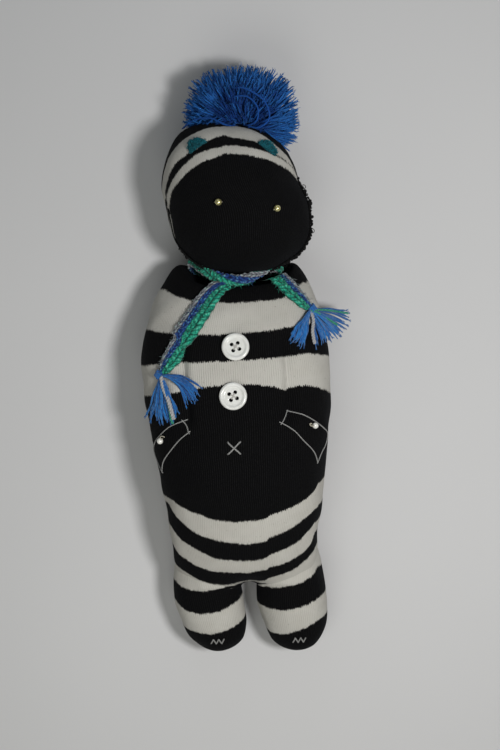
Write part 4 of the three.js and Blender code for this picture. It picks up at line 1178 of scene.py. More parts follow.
def muzzle_seam():
    """Linked stitches along the toe cap's edge: uneven knots, which grow from the chin to the
    right cheek, and a few loose loops of yarn."""
    whole, out = seam_path()
    path, out = whole[SEAM_BARE:], out[SEAM_BARE:]
    count = len(path)
    ahead = unit(np.gradient(path, axis=0))
    share = np.arange(count)[:, None] / count
    grown = (0.8 + 0.3 * ease(0.3, 0.7, share)) * (1 - 0.45 * ease(0.88, 1, share))
    places = path + ahead * random.normal(0, 0.35, (count, 1))
    places = places + out * random.uniform(0.1, 0.9, (count, 1)) * grown
    sizes = random.uniform(0.4, 0.7, (count, 1)) + 0.55 * (random.random((count, 1)) < 0.22)
    sizes = sizes * random.uniform(0.75, 1.3, (count, 3)) * grown
    knots = blobs(places, sizes)
    at = random.integers(5, count - 5, 9)
    size = random.uniform(0.8, 1.7, (len(at), 1, 1)) * 0.8
    lean = np.cross(out[at], ahead[at]) * random.uniform(-0.7, 0.7, (len(at), 1))
    loops = yarn_loops(path[at], ahead[at], out[at] + lean, size, radius=0.2, around=5, turns=0.9,
                       steps=14)
    core = plied(whole, radius=0.42, pitch=2.2)
    piece("muzzle_linking", joined_surfaces(knots, loops, core), BLACK_KNOTS, "head",
          ("muzzle_seam",))


muzzle_seam()

# Eyes: bouclé patches whose lower edge follows the black band
LEFT_EYE = [(-18.5, 134.4), (-16.9, 136.7), (-13.2, 138), (-10.2, 137.2), (-9.3, 136.3), (-12.2, 134.5),
            (-16, 131.8), (-18, 131)]
RIGHT_EYE = [(16.7, 136.6), (20.2, 137.8), (23.4, 137.3), (25.9, 133.7), (26.5, 130.2), (25.6, 128.8),
             (23.1, 130.5), (20.5, 132.5), (17.4, 135.3)]


def eye(side, outline):
    """A domed patch: rings from its outline to its middle, lifted by the root of 1 - share^2.5,
    under a cover of small yarn loops."""
    rim = curve_through(outline, 44, True)
    middle = rim.mean(0)

    def dome(share):
        """The pad's height over the skin, at a share of the way from its middle to its rim."""
        return 0.35 + 0.95 * np.sqrt(1 - share**2.5)

    def lay(share, lift):
        """The outline shrunk to a share of its size, lifted off the head's skin."""
        flat = middle + share * (rim - middle)
        return head.point(head.degrees_at(flat[:, 0], flat[:, 1]), flat[:, 1], np.full(len(rim), lift))

    shares = np.array([0.03, 0.2, 0.4, 0.6, 0.78, 0.9, 0.98, 1.0, 0.9, 0.5, 0.03])
    lifts = [*dome(shares[:7]), 0.3, 0.1, 0.1, 0.1]
    pad = plain_rings(np.stack([lay(share, lift) for share, lift in zip(shares, lifts)])[None])
    count = 170
    share = np.sqrt(random.random(count)) * 0.97
    spot = rim[random.integers(0, len(rim), count)]
    flat = middle + share[:, None] * (spot - middle)
    degrees = head.degrees_at(flat[:, 0], flat[:, 1])
    base = head.point(degrees, flat[:, 1], dome(share) - 0.05)
    out = head.normal(degrees, flat[:, 1])
    flop = unit(np.cross(out, random.normal(size=(count, 3))))
    size = random.uniform(0.35, 0.65, (count, 1, 1))
    lean = out * 0.7 + np.cross(out, flop) * 0.5
    loops = yarn_loops(base, flop, lean, size, radius=0.17, around=4, turns=0.92, steps=9)
    piece(f"{side}_eye_boucle", joined_surfaces(pad, loops), BOUCLE, "head", (f"{side}_eye",))


eye("left", LEFT_EYE)
eye("right", RIGHT_EYE)

# Things sewn on


class Seat:
    """A place on a skin, turned about the outward direction, for a thing made standing along Z."""

    def __init__(self, body, degrees, y, turn, lift=0.0):
        degrees, y = np.array(float(degrees)), np.array(float(y))
        out = body.normal(degrees, y)
        side = unit(np.array([1.0, 0, 0]) - out * out[0])
        up = np.cross(out, side)
        c, s = math.cos(math.radians(turn)), math.sin(math.radians(turn))
        self.place, self.lift = body.point(degrees, y), lift
        self.axes = np.stack([side * c + up * s, up * c - side * s, out])

    def put(self, P):
        """Points of the thing's own frame, set on the skin."""
        return (P + [0, 0, self.lift]) @ self.axes + self.place

    def strand(self, path, count, **yarn):
        """Plied yarn along a path of the thing's own frame."""
        return plied(self.put(curve_through(path, count)), **yarn)


def bead_shape(radius, bore, around=40):
    """A drilled ball, closed round both ways: its outline is a half circle from the bore's edge
    and back along the bore, turned about X."""
    start = math.asin(bore / radius)
    end = radius * math.cos(start)
    bend = np.linspace(start, math.pi - start, 20)
    r = np.concatenate([radius * np.sin(bend), np.full(5, bore)])
    x = np.concatenate([-radius * np.cos(bend), np.linspace(end, -end, 7)[1:-1]])
    return turned(r, x, around)[..., [2, 0, 1]] + [0, 0, radius]


def sewn_bead(name, seat, material, rides, radius, bore, tail=None):
    """A bead sunk 0.15 into the knit, with a thread through its bore and perhaps a loose tail."""
    P = seat.put(bead_shape(radius, bore) - [0, 0, 0.15])
    U = np.zeros((1, len(P), P.shape[1] + 1))
    piece(f"{name}_bead", rings(P[None], U, U, loop=True), material, rides, (name,))
    out = radius + 0.12
    path = [(-out * 0.6, 0, -0.5), (-out * 0.92, 0, radius * 0.45), (-out, 0, radius),
            (out, 0, radius), (out * 0.92, 0, radius * 0.45), (out * 0.6, 0, -0.5)]
    strands = [seat.strand(path, 40, radius=0.16, pitch=0.8)]
    if tail:
        strands.append(seat.strand(tail, 30, radius=0.33, pitch=1.1))
    piece(f"{name}_sewing", joined_surfaces(*strands), WHITE_THREAD, rides,
          (f"{name}_thread",))


LEFT_TAIL_CURL = [(1.0, 1.0, 1.2), (1.9, 1.2, 1.4), (2.9, 0.9, 1.2), (3.6, 0, 0.9), (3.9, -1, 0.6)]
RIGHT_TAIL_CURL = [(1.3, 0.2, 1.5), (2.2, 0.5, 1.3), (3.1, 0.2, 1.0), (3.5, -0.5, 0.8),
                   (2.8, -0.9, 0.9), (2.0, -0.6, 0.9)]
for name, x, y, turn in (("left_nostril", -5.0, 105.7, 0), ("right_nostril", 24.3, 101.2, 20)):
    seat = Seat(head, head.degrees_at(x, y), y, turn)
    sewn_bead(name, seat, GOLD, "head", radius=1.85, bore=0.55)
for name, seat, tail in (
    ("left_pocket_pearl", Seat(trunk, degrees=-57.2, y=-21.7, turn=52), LEFT_TAIL_CURL),
    ("right_pocket_pearl", Seat(trunk, degrees=50.2, y=-17, turn=168), RIGHT_TAIL_CURL),
):
    sewn_bead(name, seat, PEARL, "torso", radius=1.7, bore=0.5, tail=tail)

HOLE_RADIUS, HOLE_OFFSET = 1.0, 1.7
# A button's radius and height, from under its middle over the rim to its middle
BUTTON_OUTLINE = [
    (0.02, 0.25), (3, 0.2), (5.8, 0), (6.9, 0.25), (7.35, 0.75), (7.5, 1.25), (7.4, 1.75), (7.05, 2.15),
    (6.5, 2.38), (5.95, 2.3), (5.5, 2.02), (5.1, 1.74), (4.6, 1.6), (3, 1.62), (1.5, 1.68), (0.02, 1.7),
]


def button_mesh():
    """The outline turned about the axis, less four drilled holes with eased rims."""
    outline = curve_through(BUTTON_OUTLINE, 60)
    disc = rings(turned(outline[:, 0], outline[:, 1], 96)[None])
    flare = np.array([1.0, 1.0, 1.06, 1.35, 1.35]) * HOLE_RADIUS
    drill = turned(flare, np.array([-1.0, 1.3, 1.55, 1.75, 4.0]), 32)
    ways = (-HOLE_OFFSET, HOLE_OFFSET)
    spots = np.array([(x, y, 0) for x in ways for y in ways])
    holes = rings(drill[None] + spots[:, None, None])
    body, cutter = (
        placed(name, plain_mesh(name, surface[0], surface[1]))
        for name, surface in (("disc", disc), ("holes", holes))
    )
    cut = body.modifiers.new("drill", "BOOLEAN")
    cut.operation, cut.solver, cut.object = "DIFFERENCE", "EXACT", cutter
    bpy.context.view_layer.update()
    drilled = body.evaluated_get(bpy.context.evaluated_depsgraph_get())
    result = bpy.data.meshes.new_from_object(drilled)
    places = np.array([v.co for v in result.vertices])
    surface = [list(face.vertices) for face in result.polygons]
    for made in (body, cutter):
        bpy.data.objects.remove(made)
    return places, surface


BUTTON_POINTS, BUTTON_FACES = button_mesh()


def sewn_button(name, degrees, y, turn):
    """A button, and its threads: two side by side along each diagonal, from hole to hole."""
    seat = Seat(trunk, degrees, y, turn, lift=0.35)
    surface = (seat.put(BUTTON_POINTS), BUTTON_FACES, None, {})
    made = piece(f"{name}_disc", surface, BUTTON, "torso", (name,))
    made.data.set_sharp_from_angle(angle=math.radians(38))
    across = np.array([-0.74, -0.68, -0.45, 0.45, 0.68, 0.74]) * HOLE_OFFSET
    height = np.array([-0.6, 1.3, 1.85, 1.9, 1.3, -0.6])
    strands = []
    for sign in (1, -1):
        for shift in (-0.154, 0.154):
            path = np.stack([across + shift, sign * (across - shift), height], -1)
            strands.append(seat.strand(path, 40, radius=0.17, pitch=0.9))
    piece(f"{name}_sewing", joined_surfaces(*strands), BUTTON_THREAD, "torso",
          (f"{name}_thread",))


sewn_button("upper_button", degrees=0.6, y=28, turn=12)
sewn_button("lower_button", degrees=-1.5, y=2, turn=14)


def belly_cross():
    """Two crossed stitches of grey yarn that dive into the knit at their ends."""
    shares = np.array([-1.06, -1, -0.75, 0, 0.75, 1, 1.06])
    strands = []
    for turn, reach, middle in ((42, 4.55, 0.8), (-46, 4.42, 1.2)):
        height = [-0.7, 0.2, 0.65, middle, 0.65, 0.2, -0.7]
        path = np.stack([shares * reach, 0.15 * np.sin(shares * 3), height], -1)
        seat = Seat(trunk, degrees=-2.5, y=-25.6, turn=turn)
        strands.append(seat.strand(path, 60, radius=0.43, pitch=2.2, plies=3, around=6))
    piece("belly_cross", joined_surfaces(*strands), GREY_THREAD, "torso",
          ("belly_cross_stitch",))


belly_cross()

# Pocket outlines: three runs of thread each, which overshoot a little at the corners
LEFT_POCKET = [
    [(-31, -9.9), (-34.5, -10.9), (-45, -13.6), (-56, -17.6), (-70, -23), (-79, -28), (-78, -31.5),
     (-73, -35.8), (-64.5, -40.2)],
    [(-66.6, -39.8), (-60.5, -33.8), (-47, -26.2), (-37, -20.4), (-28, -15.9)],
    [(-28.8, -17.4), (-31.2, -13.4), (-34.6, -9.9)],
]
RIGHT_POCKET = [
    [(27.8, -7.6), (30.8, -8.2), (39.5, -10.5), (50, -14.2), (63, -19.2), (74, -23.5), (72.5, -28.8),
     (65.5, -33.2), (58.4, -38.6)],
    [(59.4, -38.4), (53.2, -32.2), (41.2, -24.8), (32.2, -18.5), (21.2, -13)],
    [(22.2, -14.6), (25.6, -11), (29.2, -7.4)],
]


def pocket(side, runs):
    """Each run lies on the trunk's skin at (degrees, y), lifted by a part of its thickness."""
    strands = []
    for run in runs:
        run = curve_through(run, 200)
        path = trunk.point(run[:, 0], run[:, 1], np.full(len(run), 0.22))
        count = int(np.linalg.norm(np.diff(path, axis=0), axis=1).sum() / 0.28)
        strands.append(plied(curve_through(path, count), radius=0.34, pitch=1.5))
    piece(f"{side}_pocket_line", joined_surfaces(*strands), GREY_THREAD, "torso",
          (f"{side}_pocket_outline",))


pocket("left", LEFT_POCKET)
pocket("right", RIGHT_POCKET)


def quilting(side, sign):
    """Short running stitches along the channel that parts the arm from the chest, in a near-black thread
    that also stands for the channel's painted shade.
    """
    starts = np.arange(27.0, -5, -3.1)
    share = np.linspace(0, 1, 9)
    y = starts[:, None] - 1.9 * share
    degrees = np.full_like(y, sign * QUILT_DEGREES)
    lift = 0.03 + 0.12 * np.sin(math.pi * share) - 0.3 * (np.abs(share - 0.5) > 0.45)
    path = trunk.point(degrees, y, np.broadcast_to(lift, y.shape))
    surface = tubes(path, radius=0.15, around=5, tint=random.random(len(path)))
    piece(f"{side}_arm_stitches", surface, CREASE_SHADE_THREAD, "torso", (f"{side}_arm_quilting",))


quilting("left", -1)
quilting("right", 1)


def toe_stitch(side, leg, x, y):
    """A small plain zigzag: six corners across the foot, alternately high and low."""
    k = np.arange(6)
    corners = np.stack([x + 7.5 * (k / 5 - 0.5), y + 3 * np.where(k % 2, 0.5, -0.5)], -1)
    share = np.linspace(0, 5, 41)
    line = np.stack([np.interp(share, k, corners[:, 0]), np.interp(share, k, corners[:, 1])], -1)
    degrees = leg.degrees_at(line[:, 0], line[:, 1])
    path = leg.point(degrees, line[:, 1], np.full(len(line), 0.25))
    surface = plied(curve_through(path, 130), radius=0.4, pitch=1.5)
    piece(f"{side}_toe_zigzag", surface, GREY_THREAD, f"{side}_leg",
          (f"{side}_toe_stitch",))


toe_stitch("left", left_leg, x=-19.3, y=-142.5)
toe_stitch("right", right_leg, x=27.7, y=-144.5)

# Scarf: four columns of stitches wide, grey, blue and two of green
SCARF_COLUMNS = 4
STITCH = 2.9  # millimetres along for each stitch
# Each tail's path over the chest, by x and y, and half its width at these shares of the way
LEFT_TAIL = [(-2, 62), (-7.5, 60.4), (-13.5, 55), (-19.2, 47.5), (-25.4, 39.2), (-30.9, 31), (-35.8, 23),
             (-40.2, 15.6)]
RIGHT_TAIL = [(17.6, 71.4), (20.8, 68.4), (24.4, 64.6), (28.7, 60), (33.8, 53.8), (40.4, 46.6)]
TAIL_SHARES = [0, 0.12, 0.3, 0.62, 0.9, 1]
LEFT_WIDTHS = [3.6, 5.4, 6.4, 6.7, 4.6, 2.8]
RIGHT_WIDTHS = [3.8, 4.6, 5.4, 5.6, 4.2, 2.8]
SCARF_LOOP = [
    (-22.4, 74.3, 33), (-17.8, 70.8, 39), (-12.5, 67.7, 43.8), (-7, 65.4, 47), (-1, 64, 49), (5, 63.8, 49),
    (11, 65.3, 47.2), (17, 67.4, 43.4), (22.4, 69, 38.2), (25.6, 68.4, 32), (25.6, 68, 25), (20, 66, 17),
    (8, 65.3, 13.5), (-4, 65.8, 14), (-15, 67.5, 18), (-22.5, 71.5, 25),
]


def stitch_relief(column, row):
    """Chain stitches: each column is two slanting strands, so the height is the strand's round
    back across, times the wave of the rows, which starts later away from the column's middle.
    The green column is twice as wide as the grey and the blue."""
    column = column % SCARF_COLUMNS
    within = np.where(column < 2, 2 * (column % 1) - 1, column - 3)
    across = 1 - ((np.abs(within) - 0.52) / 0.52) ** 2
    drift = 0.2 * np.sin(2.1 * row + 2 * np.floor(column)) + 0.12 * np.sin(5.3 * row + 3 * within)
    wave = np.abs(np.sin(math.pi * (row + 0.8 * np.abs(within) + drift)))
    uneven = 0.82 + 0.18 * np.sin(3.7 * row + 5 * np.floor(column) + 2 * within)
    return np.clip(across, 0, 1) ** 0.6 * (0.12 + 0.88 * wave) * uneven


def stray_fibres(name, P, columns, count, material):
    """Fine fibres that stand off the knit but not towards the head: short arcs, place + way t +
    bend t^2, each of the colour of the column that it starts from."""
    steps, around = 5, 3
    at = random.integers(0, P.shape[0] * P.shape[1], count)
    places, own = P.reshape(-1, 3)[at], columns.ravel()[at]
    ways = unit(random.normal(size=(count, 3)) + [0, 0, 0.4])
    bends = unit(random.normal(size=(count, 3)))
    t = np.linspace(0, 1, steps)[None, :, None]
    reach = random.uniform(0.9, 2.6, (count, 1, 1))
    paths = places[:, None] + (ways[:, None] * t + 0.6 * bends[:, None] * t**2) * reach
    paths[..., 1] = np.minimum(paths[..., 1], places[:, None, 1] + 0.3)
    paths[..., 2] = np.maximum(paths[..., 2], 0.3)
    points, faces, _, _ = tubes(paths, radius=0.075, around=around)
    each = len(points) // count
    # four corners for each quad of the tubes, and three for each of their ends' triangles
    color = [np.repeat(own, 4 * around * (steps - 1)), np.repeat(own, 3 * around * 2)]
    color = np.concatenate(color)
    corners = np.stack([color, np.zeros(len(color))], -1)
    values = {"strand": np.full(len(points), 0.75), "column": np.repeat(own, each)}
    return piece(name, (points, faces, corners, values), material, "torso")


def scarf_tail(side, points, widths, flip, press, stands_for):
    """A knitted strip laid along a path on the chest: stitches on its upper side, thin edges, and
    thinner where it comes from under the chin."""
    places = np.array(points, float)
    base = trunk.bare(trunk.degrees_at(places[:, 0], places[:, 1]), places[:, 1])
    length = np.linalg.norm(np.diff(base, axis=0), axis=1).sum()
    rows = int(length / 0.42)
    path = curve_through(base, rows)
    out = trunk.normal(trunk.degrees_of(path), path[:, 1])
    over = unit(np.cross(unit(np.gradient(path, axis=0)), out))
    share = np.linspace(0, 1, rows)
    half = np.interp(share, TAIL_SHARES, widths)
    top = 45
    across = np.concatenate([np.linspace(-1, 1, top), np.linspace(1, -1, 14)[1:-1]])
    row = (share * length / STITCH)[:, None]
    waver = 0.25 * np.sin(row * math.pi) * np.sign(across) * (np.abs(across) > 0.85)
    near = path[:, None] + over[:, None] * (across * half[:, None] + waver)[..., None]
    column = (across + 1) / 2 * SCARF_COLUMNS
    if flip:
        column = SCARF_COLUMNS - column
    relief = stitch_relief(np.broadcast_to(column, (rows, len(across))) + 1e-6, row)
    on_top = np.arange(len(across)) < top
    crown = np.sqrt(np.clip(1 - np.abs(across) ** 6, 0, 1))
    thick = (0.45 + 0.55 * ease(0.05, 0.35, share))[:, None]
    bulk = 0.5 + 1.0 * crown + 1.35 * relief * (0.3 + 0.7 * crown)
    lift = np.where(on_top, bulk * thick, 0.25)
    P = trunk.point(trunk.degrees_of(near), near[..., 1], lift)
    P = shoulder_press(P, press, soft=0.8)
    V = np.broadcast_to(row, (rows, len(across) + 1))[None]
    U = np.broadcast_to(np.append(column, column[0]), V.shape)
    surface = rings(P[None], U, V, {"strand": np.where(on_top, relief, 0.3)[None]})
    made = piece(f"scarf_{side}_strip", surface, SCARF, "torso", stands_for)
    open_air = int(rows * 0.3)
    columns = np.broadcast_to(column[:top], (rows - open_air, top))
    name = f"scarf_{side}_fibres"
    fuzz = stray_fibres(name, P[open_air:, :top], columns, int(length * 12), SCARF)
    return made, fuzz, length


def scarf_loop():
    """The scarf rolled up round the neck: a rope whose four columns wind about it, its radius
    1.72 plus the stitches' relief, a quarter wider than high. It is thicker at the front, and
    thinner where the tails come out."""
    count, around = 330, 56
    path = curve_through(SCARF_LOOP, count, True)[None]
    length = np.linalg.norm(np.diff(path[0], axis=0), axis=1).sum()
    _, side, up = frames_along(path, True)
    turn = round_turn(around)
    share = (np.arange(count) / count)[:, None]
    winds = np.interp(share, [0, 0.1, 0.5, 1], [0.22, 0.3, 1.5, 3.22])
    column = (turn / TURN - winds + 0.92) % 1 * SCARF_COLUMNS
    row = share * round(length / STITCH)
    relief = stitch_relief(column + 1e-6, row)
    front, left, right = (
        np.exp(-(((share - at) / width) ** 2)) for at, width in ((0.22, 0.12), (0.03, 0.07), (0.38, 0.07))
    )
    radius = (1.72 + 0.2 * front + 1.1 * relief) * (1 - 0.3 * left - 0.4 * right)
    ring = side[0][:, None] * np.cos(turn)[:, None] * 1.25 + up[0][:, None] * np.sin(turn)[:, None]
    P = path[0][:, None] + ring * radius[..., None]
    U = (np.arange(around + 1) / around - winds + 0.92) * SCARF_COLUMNS
    V = np.broadcast_to(row, U.shape)
    values = {"strand": relief[None], "column": column[None]}
    surface = rings(P[None], U[None], V[None], values, loop=True)
    made = piece("scarf_wrap", surface, SCARF_ROPE, "torso", ("scarf_collar", "scarf_knot"))
    # only the low part at the front has stray fibres, which the nodding head doesn't reach
    low = P[..., 1] < 63.5
    places, columns = P[low][:, None], column[low][:, None]
    return made, stray_fibres("scarf_wrap_fibres", places, columns, 350, SCARF_ROPE), length


wrap, wrap_fuzz, wrap_length = scarf_loop()
left_strip, left_fuzz, left_length = scarf_tail(
    "left", LEFT_TAIL, LEFT_WIDTHS, flip=True, press=0.4, stands_for=("scarf_left_tail",))
right_strip, right_fuzz, right_length = scarf_tail(
    "right", RIGHT_TAIL, RIGHT_WIDTHS, flip=False, press=1.6, stands_for=("scarf_right_tail",))

# Tassels: yarn tied to the scarf's ends, lying on the body and drooping past its side
LEFT_BINDING, RIGHT_BINDING = (-41.4, 14.4), (41.8, 45.6)


def rest_height(x, y):
    """The height that a strand lies at: on the trunk, or drooping past its side."""
    edge = 0.93
    half, middle, _, shift = trunk.measure(y)
    aside = np.abs(x - shift) / half
    share = np.sign(x) * np.minimum(aside, edge)
    on_trunk = trunk.bare(trunk.degrees_at(shift + share * half, y), y)[..., 2]
    past = np.maximum(aside - edge, 0) * half
    return np.maximum(on_trunk - past * 1.1, middle * 0.3)


def tassel_paths(root, strands, steps=16):
    """Each strand leaves the binding at an angle, reaches its length and bends on the way; its
    height is the body's there, plus a lift that is greatest a third of the way out."""
    angle, reach, bend, lift = (strands[:, k][:, None] for k in range(4))
    share = np.linspace(0, 1, steps)[None]
    turn = np.radians(angle) + np.radians(bend) * (share - 0.3)
    step = reach / (steps - 1)
    x, y = (
        start + np.concatenate([np.zeros_like(angle), np.cumsum(way(turn[:, 1:]) * step, 1)], 1)
        for start, way in zip(root, (np.cos, np.sin))
    )
    z = rest_height(x, y) + 0.7 + lift * np.sin(math.pi * np.minimum(share * 1.3, 1)) ** 0.8
    z = z + 2.0 * (1 - ease(0, 0.25, share))
    wave = 0.45 * share * np.sin(share * 11 + angle / 9)
    return np.stack([x + wave, y - wave, z], -1)


def frayed_ends(paths, frays, spread, steps, reach, radius, around, along, tint=None):
    """Fine fibres at the ends of strands: end + (the strand's last way, and a random part) times
    a reach."""
    ends, ahead = paths[:, -1], unit(paths[:, -1] - paths[:, -3])
    ways = ahead[:, None] + random.normal(0, spread, (len(paths), frays, 3))
    reach = np.array(steps)[:, None] * random.uniform(*reach, (len(paths), frays, 1, 1))
    fibres = ends[:, None, None] + ways[:, :, None] * reach
    fibres[..., 2] = np.maximum(fibres[..., 2], 0.4)
    fibres = fibres.reshape(-1, len(steps), 3)
    tint = random.random(len(fibres)) if tint is None else np.repeat(tint, frays)
    surface = tubes(fibres, radius, around, tint)
    surface[3]["along"][:] = along
    return surface


def tassel(side, root, spans, extra, stands_for):
    """Fans of blue strands, each fan from low to high degrees, and a few strands of the scarf's
    other colours along paths of their own (x, y, height over the body)."""
    rows = []
    for low, high, count, reach, bend in spans:
        angle = np.linspace(low, high, count) + random.normal(0, 2.5, count)
        reaches = reach * random.uniform(0.8, 1.04, count)
        bends = bend + random.uniform(-16, 16, count)
        rows.append(np.stack([angle, reaches, bends, random.uniform(0.2, 3.6, count)], -1))
    paths = tassel_paths(root, np.concatenate(rows))
    count, steps = paths.shape[:2]
    swell = np.interp(np.linspace(0, 1, steps), [0, 0.3, 0.85, 1], [0.5, 0.52, 0.62, 0.5])
    strands = tubes(paths, swell, around=6, tint=random.random(count))
    fray = frayed_ends(paths, frays=3, spread=0.2, steps=[-0.2, 0.2, 0.6, 1.0], reach=(1.0, 2.4),
                       radius=0.24, around=4, along=1.0)
    surface = joined_surfaces(strands, fray)
    made = [piece(f"{side}_tassel_strands", surface, TASSEL, "torso", stands_for)]
    for label, material, path, radius in extra:
        path = np.array(path, float)
        path[:, 2] += rest_height(path[:, 0], path[:, 1])
        surface = plied(curve_through(path, 60), radius, pitch=3.2, around=7)
        made.append(piece(f"{side}_tassel_{label}", surface, material, "torso"))
    return made


def binding(side, root, lean):
    """Three wraps of yarn round the scarf's gathered end, over a rounded core."""
    seat = Seat(trunk, trunk.degrees_at(*root), root[1], lean)
    turn = np.linspace(0, 3.2 * TURN, 100)
    coil = np.stack([np.linspace(-1.5, 1.5, 100), 2.3 * np.cos(turn), 1.5 * np.sin(turn) + 1.9], -1)
    wraps = tubes(seat.put(coil)[None], radius=0.65, around=7, tint=np.array([0.4]))
    rise = np.linspace(0.1, math.pi - 0.1, 14)
    core = turned(np.sin(rise), -np.cos(rise), 24)[..., [2, 0, 1]] * [3, 2.0, 1.3] + [0, 0, 1.9]
    core = plain_rings(seat.put(core)[None])
    return piece(f"{side}_binding_wraps", joined_surfaces(wraps, core), TASSEL, "torso",
                 (f"{side}_tassel_binding",))


LEFT_EXTRA = [
    ("grey", TASSEL_GREY, [(-41.4, 14, 3.5), (-40.5, 8, 3.6), (-38, 1, 3.2), (-36.5, -5.5, 2),
                           (-35.6, -9.5, 1)], 1.15),
    ("green", TASSEL_GREEN, [(-41.4, 13.5, 2.6), (-39.8, 6, 2.4), (-37.8, -3, 2.2), (-37, -9.5, 1.5),
                             (-36.2, -12, 0.9)], 0.7),
]
RIGHT_EXTRA = [
    ("grey", TASSEL_GREY, [(41.8, 45, 2.5), (43, 40, 3.2), (42.2, 33.5, 2.6), (43, 27, 1.5)], 0.95),
    ("green", TASSEL_GREEN, [(41.8, 45, 3.4), (47, 42.8, 3.8), (52.5, 38.8, 3.4), (57, 35.7, 3)], 0.7),
    ("green_long", TASSEL_GREEN, [(41.8, 45, 3.2), (48, 44.9, 4), (56, 43.4, 4), (64, 41.4, 4.5)], 0.6),
]
# Fans of strands: degrees from and to, how many, their reach and their bend in degrees
LEFT_SPANS = [(-114, -84, 26, 25.5, 4), (-84, -66, 10, 23, -6), (-30, -8, 14, 23, -66)]
RIGHT_SPANS = [(-134, -106, 14, 19.5, 10), (-80, -58, 9, 19, -8), (-54, -22, 20, 22.5, -8),
               (-12, -4, 5, 24, -24)]
left_tassel = tassel("left", LEFT_BINDING, LEFT_SPANS, LEFT_EXTRA, ("left_tassel",))
right_tassel = tassel("right", RIGHT_BINDING, RIGHT_SPANS, RIGHT_EXTRA, ("right_tassel",))
left_binding = binding("left", LEFT_BINDING, lean=50)
right_binding = binding("right", RIGHT_BINDING, lean=-40)

# Mane
MANE_ROOT = np.array([9.0, 147.5, 36.0])
MANE_MIDDLE = np.array([9.0, 153.5, 27.0])
MANE_HALF = np.array([31.6, 27.4, 23.5])
MANE_POWER = 2.5
MANE_CLUMPS, MANE_EACH, MANE_STEPS = 92, 13, 11
MANE_CURLS = [
    [(10, 148, 44), (18, 145.5, 51), (24, 150, 53), (22, 159, 52), (15, 165, 50), (8, 168, 46),
     (2, 166, 40)],
    [(11, 147, 45), (17, 149, 51), (18, 156, 52), (13, 162, 51), (6, 163, 47), (0, 160, 41)],
    [(8, 147, 45), (0, 148, 50), (-8, 152, 48), (-17, 152, 42), (-24, 148, 36)],
]


def reach_of_dome(way):
    """How far it is from the mane's root to its outline, |x/a|^2.5 + |y/b|^2.5 + |z/c|^2.5 = 1,
    in each direction, by halving."""
    near, far = np.zeros(len(way)), np.full(len(way), 90.0)
    for _ in range(20):
        half = (near + far) / 2
        place = (MANE_ROOT + way * half[:, None] - MANE_MIDDLE) / MANE_HALF
        inside = (np.abs(place) ** MANE_POWER).sum(-1) < 1
        near, far = np.where(inside, half, near), np.where(inside, far, half)
    return near


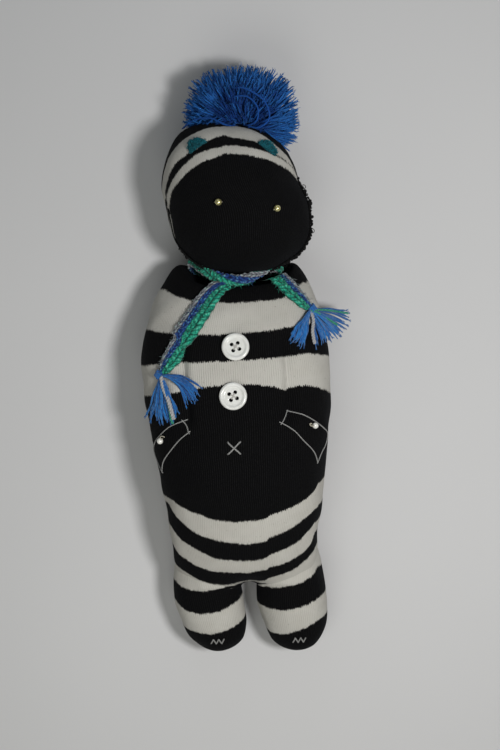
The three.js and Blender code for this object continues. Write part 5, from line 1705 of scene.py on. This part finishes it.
def mane():
    """Yarn in clumps. A clump's direction is one of a sunflower's on a ball round the root, and
    its strands differ a little from it. Each strand is a curve from the tie through a middle to a
    tip on the dome, and what rises to the front falls back over the crown. Strands of a clump
    share a bend and a wave, so that dark gaps part the clumps. Their ends fray, and a few long
    curls lie loose on the front."""
    count = MANE_CLUMPS * MANE_EACH
    k = np.arange(MANE_CLUMPS) + 0.5
    out = 1 - k / MANE_CLUMPS * 1.28
    spin = k * math.pi * (3 - math.sqrt(5))
    flat = np.sqrt(1 - out**2)
    clump = np.stack([flat * np.cos(spin), out, flat * np.sin(spin)], -1)
    bend = random.normal(0, 1.5, (MANE_CLUMPS, 3))
    phase = random.uniform(0, TURN, MANE_CLUMPS)
    swing = unit(np.cross(clump, random.normal(size=(MANE_CLUMPS, 3))))
    clump, bend, phase, swing = (np.repeat(each, MANE_EACH, 0) for each in (clump, bend, phase, swing))
    way = unit(clump + random.normal(0, 0.19, (count, 3)))
    front = np.maximum(way[:, 2:], 0)
    tip_way = unit(way * [1, 1, 0.7] + front * [0, 0.35, 0])
    length = reach_of_dome(tip_way) * random.uniform(0.89, 1.02, count)
    length = (length * (1 - 0.25 * front[:, 0] * random.random(count)))[:, None]
    start = MANE_ROOT + way * [4.5, 1.0, 4.5] * random.uniform(0.3, 1, (count, 1))
    middle = MANE_ROOT + unit(way + tip_way * 0.5) * length * 0.55 + bend
    tips = MANE_ROOT + tip_way * length
    t = np.linspace(0, 1, MANE_STEPS)[None, :, None]
    paths = (1 - t) ** 2 * start[:, None] + 2 * t * (1 - t) * middle[:, None] + t**2 * tips[:, None]
    wave = np.sin(t[..., 0] * 8 + phase[:, None] + random.normal(0, 0.3, (count, 1))) * t[..., 0]
    paths = paths + swing[:, None] * (0.8 * wave)[..., None]
    # strands stay outside the head and above the table
    for _ in range(3):
        deep = np.clip(0.6 - head.distance(paths), 0, None)
        paths = paths + unit(paths - np.array(HEAD_MIDDLE)) * deep[..., None]
    paths[..., 2] = np.maximum(paths[..., 2], 1.2)
    radius = np.interp(t[0, :, 0], [0, 0.2, 0.8, 1], [0.38, 0.44, 0.54, 0.42])
    tint = 0.55 + 0.2 * np.sin(phase * 3) + random.normal(0, 0.2, count)
    # clumps that rise towards the front are painted darker, as painted shade in the mane's hollow
    tint = np.clip(tint - 0.6 * ease(0.35, 0.9, front[:, 0]), 0, 1)
    strands = tubes(paths, radius, around=4, tint=tint)
    fray = frayed_ends(paths, frays=4, spread=0.42, steps=[-0.5, 0.2, 1.0], reach=(0.6, 1.3),
                       radius=0.2, around=3, along=0.95, tint=tint)
    loose = np.stack([curve_through(curl, 40) for curl in MANE_CURLS])
    loose = tubes(loose, radius=0.5, around=6, tint=np.array([0.7, 0.6, 0.6]))
    loose[3]["along"][:] = 0.6
    piece("mane_yarn", joined_surfaces(strands, fray, loose), MANE, "head", ("mane_tuft",))
    turn = round_turn(60)
    tie = np.stack([9 + 5.2 * np.cos(turn), 149.6 + 0.3 * np.sin(3 * turn), 36.7 + 5.2 * np.sin(turn)], -1)
    tie = plied(tie, radius=0.8, pitch=3.2, around=7, closed=True)
    piece("mane_binding", tie, MANE, "head", ("mane_tie",))


mane()

# Stage


def floor():
    """A square table top of 30 by 30 faces, with a rise of a hair's breadth at its rim."""
    half, across = 1500, 30
    line = np.linspace(-half, half, across + 1)
    x, y = np.meshgrid(line, line, indexing="ij")
    z = 0.02 * (np.hypot(x, y) / half) ** 4 - 0.05
    P = np.stack([x, y, z], -1).reshape(-1, 3)
    i = np.arange(across)[:, None] * (across + 1) + np.arange(across)
    corners = [i, i + across + 1, i + across + 2, i + 1]
    mesh = plain_mesh("table_top", P * MM, np.stack(corners, -1).reshape(-1, 4).tolist())
    mesh.materials.append(FLOOR)
    placed("table_top", mesh)


def lamp(name, place, target, size, power, color):
    """A round soft light at a place, pointed at a target, in metres."""
    light = bpy.data.lights.new(name, "AREA")
    light.shape, light.size, light.energy, light.color = "DISK", size, power, color
    back = unit(np.array(place, float) - np.array(target, float))
    side = unit(np.cross([0.0, 1.0, 0.1], back))
    aim(placed(name, light), side, np.cross(back, side), back, place)


floor()
lamp("window", (0.27, 0.0, 0.7), (0.03, 0.0, 0), size=0.13, power=3.15, color=(1.0, 0.99, 0.965))
lamp("fill", (-0.1, -0.24, 0.5), (0, -0.04, 0), size=0.4, power=0.72, color=(1.0, 1.0, 0.94))
lamp("sky", (-0.1, 0.82, 0.42), (0, 0.1, 0), size=0.5, power=0.65, color=(0.78, 0.89, 1.0))
world = bpy.data.worlds.new("room")
world.use_nodes = True
air = world.node_tree.nodes["Background"].inputs
air["Color"].default_value = (0.97, 0.98, 0.9, 1)
air["Strength"].default_value = 0.12
bpy.context.scene.world = world
bpy.context.scene.view_settings.view_transform = "Standard"

bpy.context.view_layer.update()
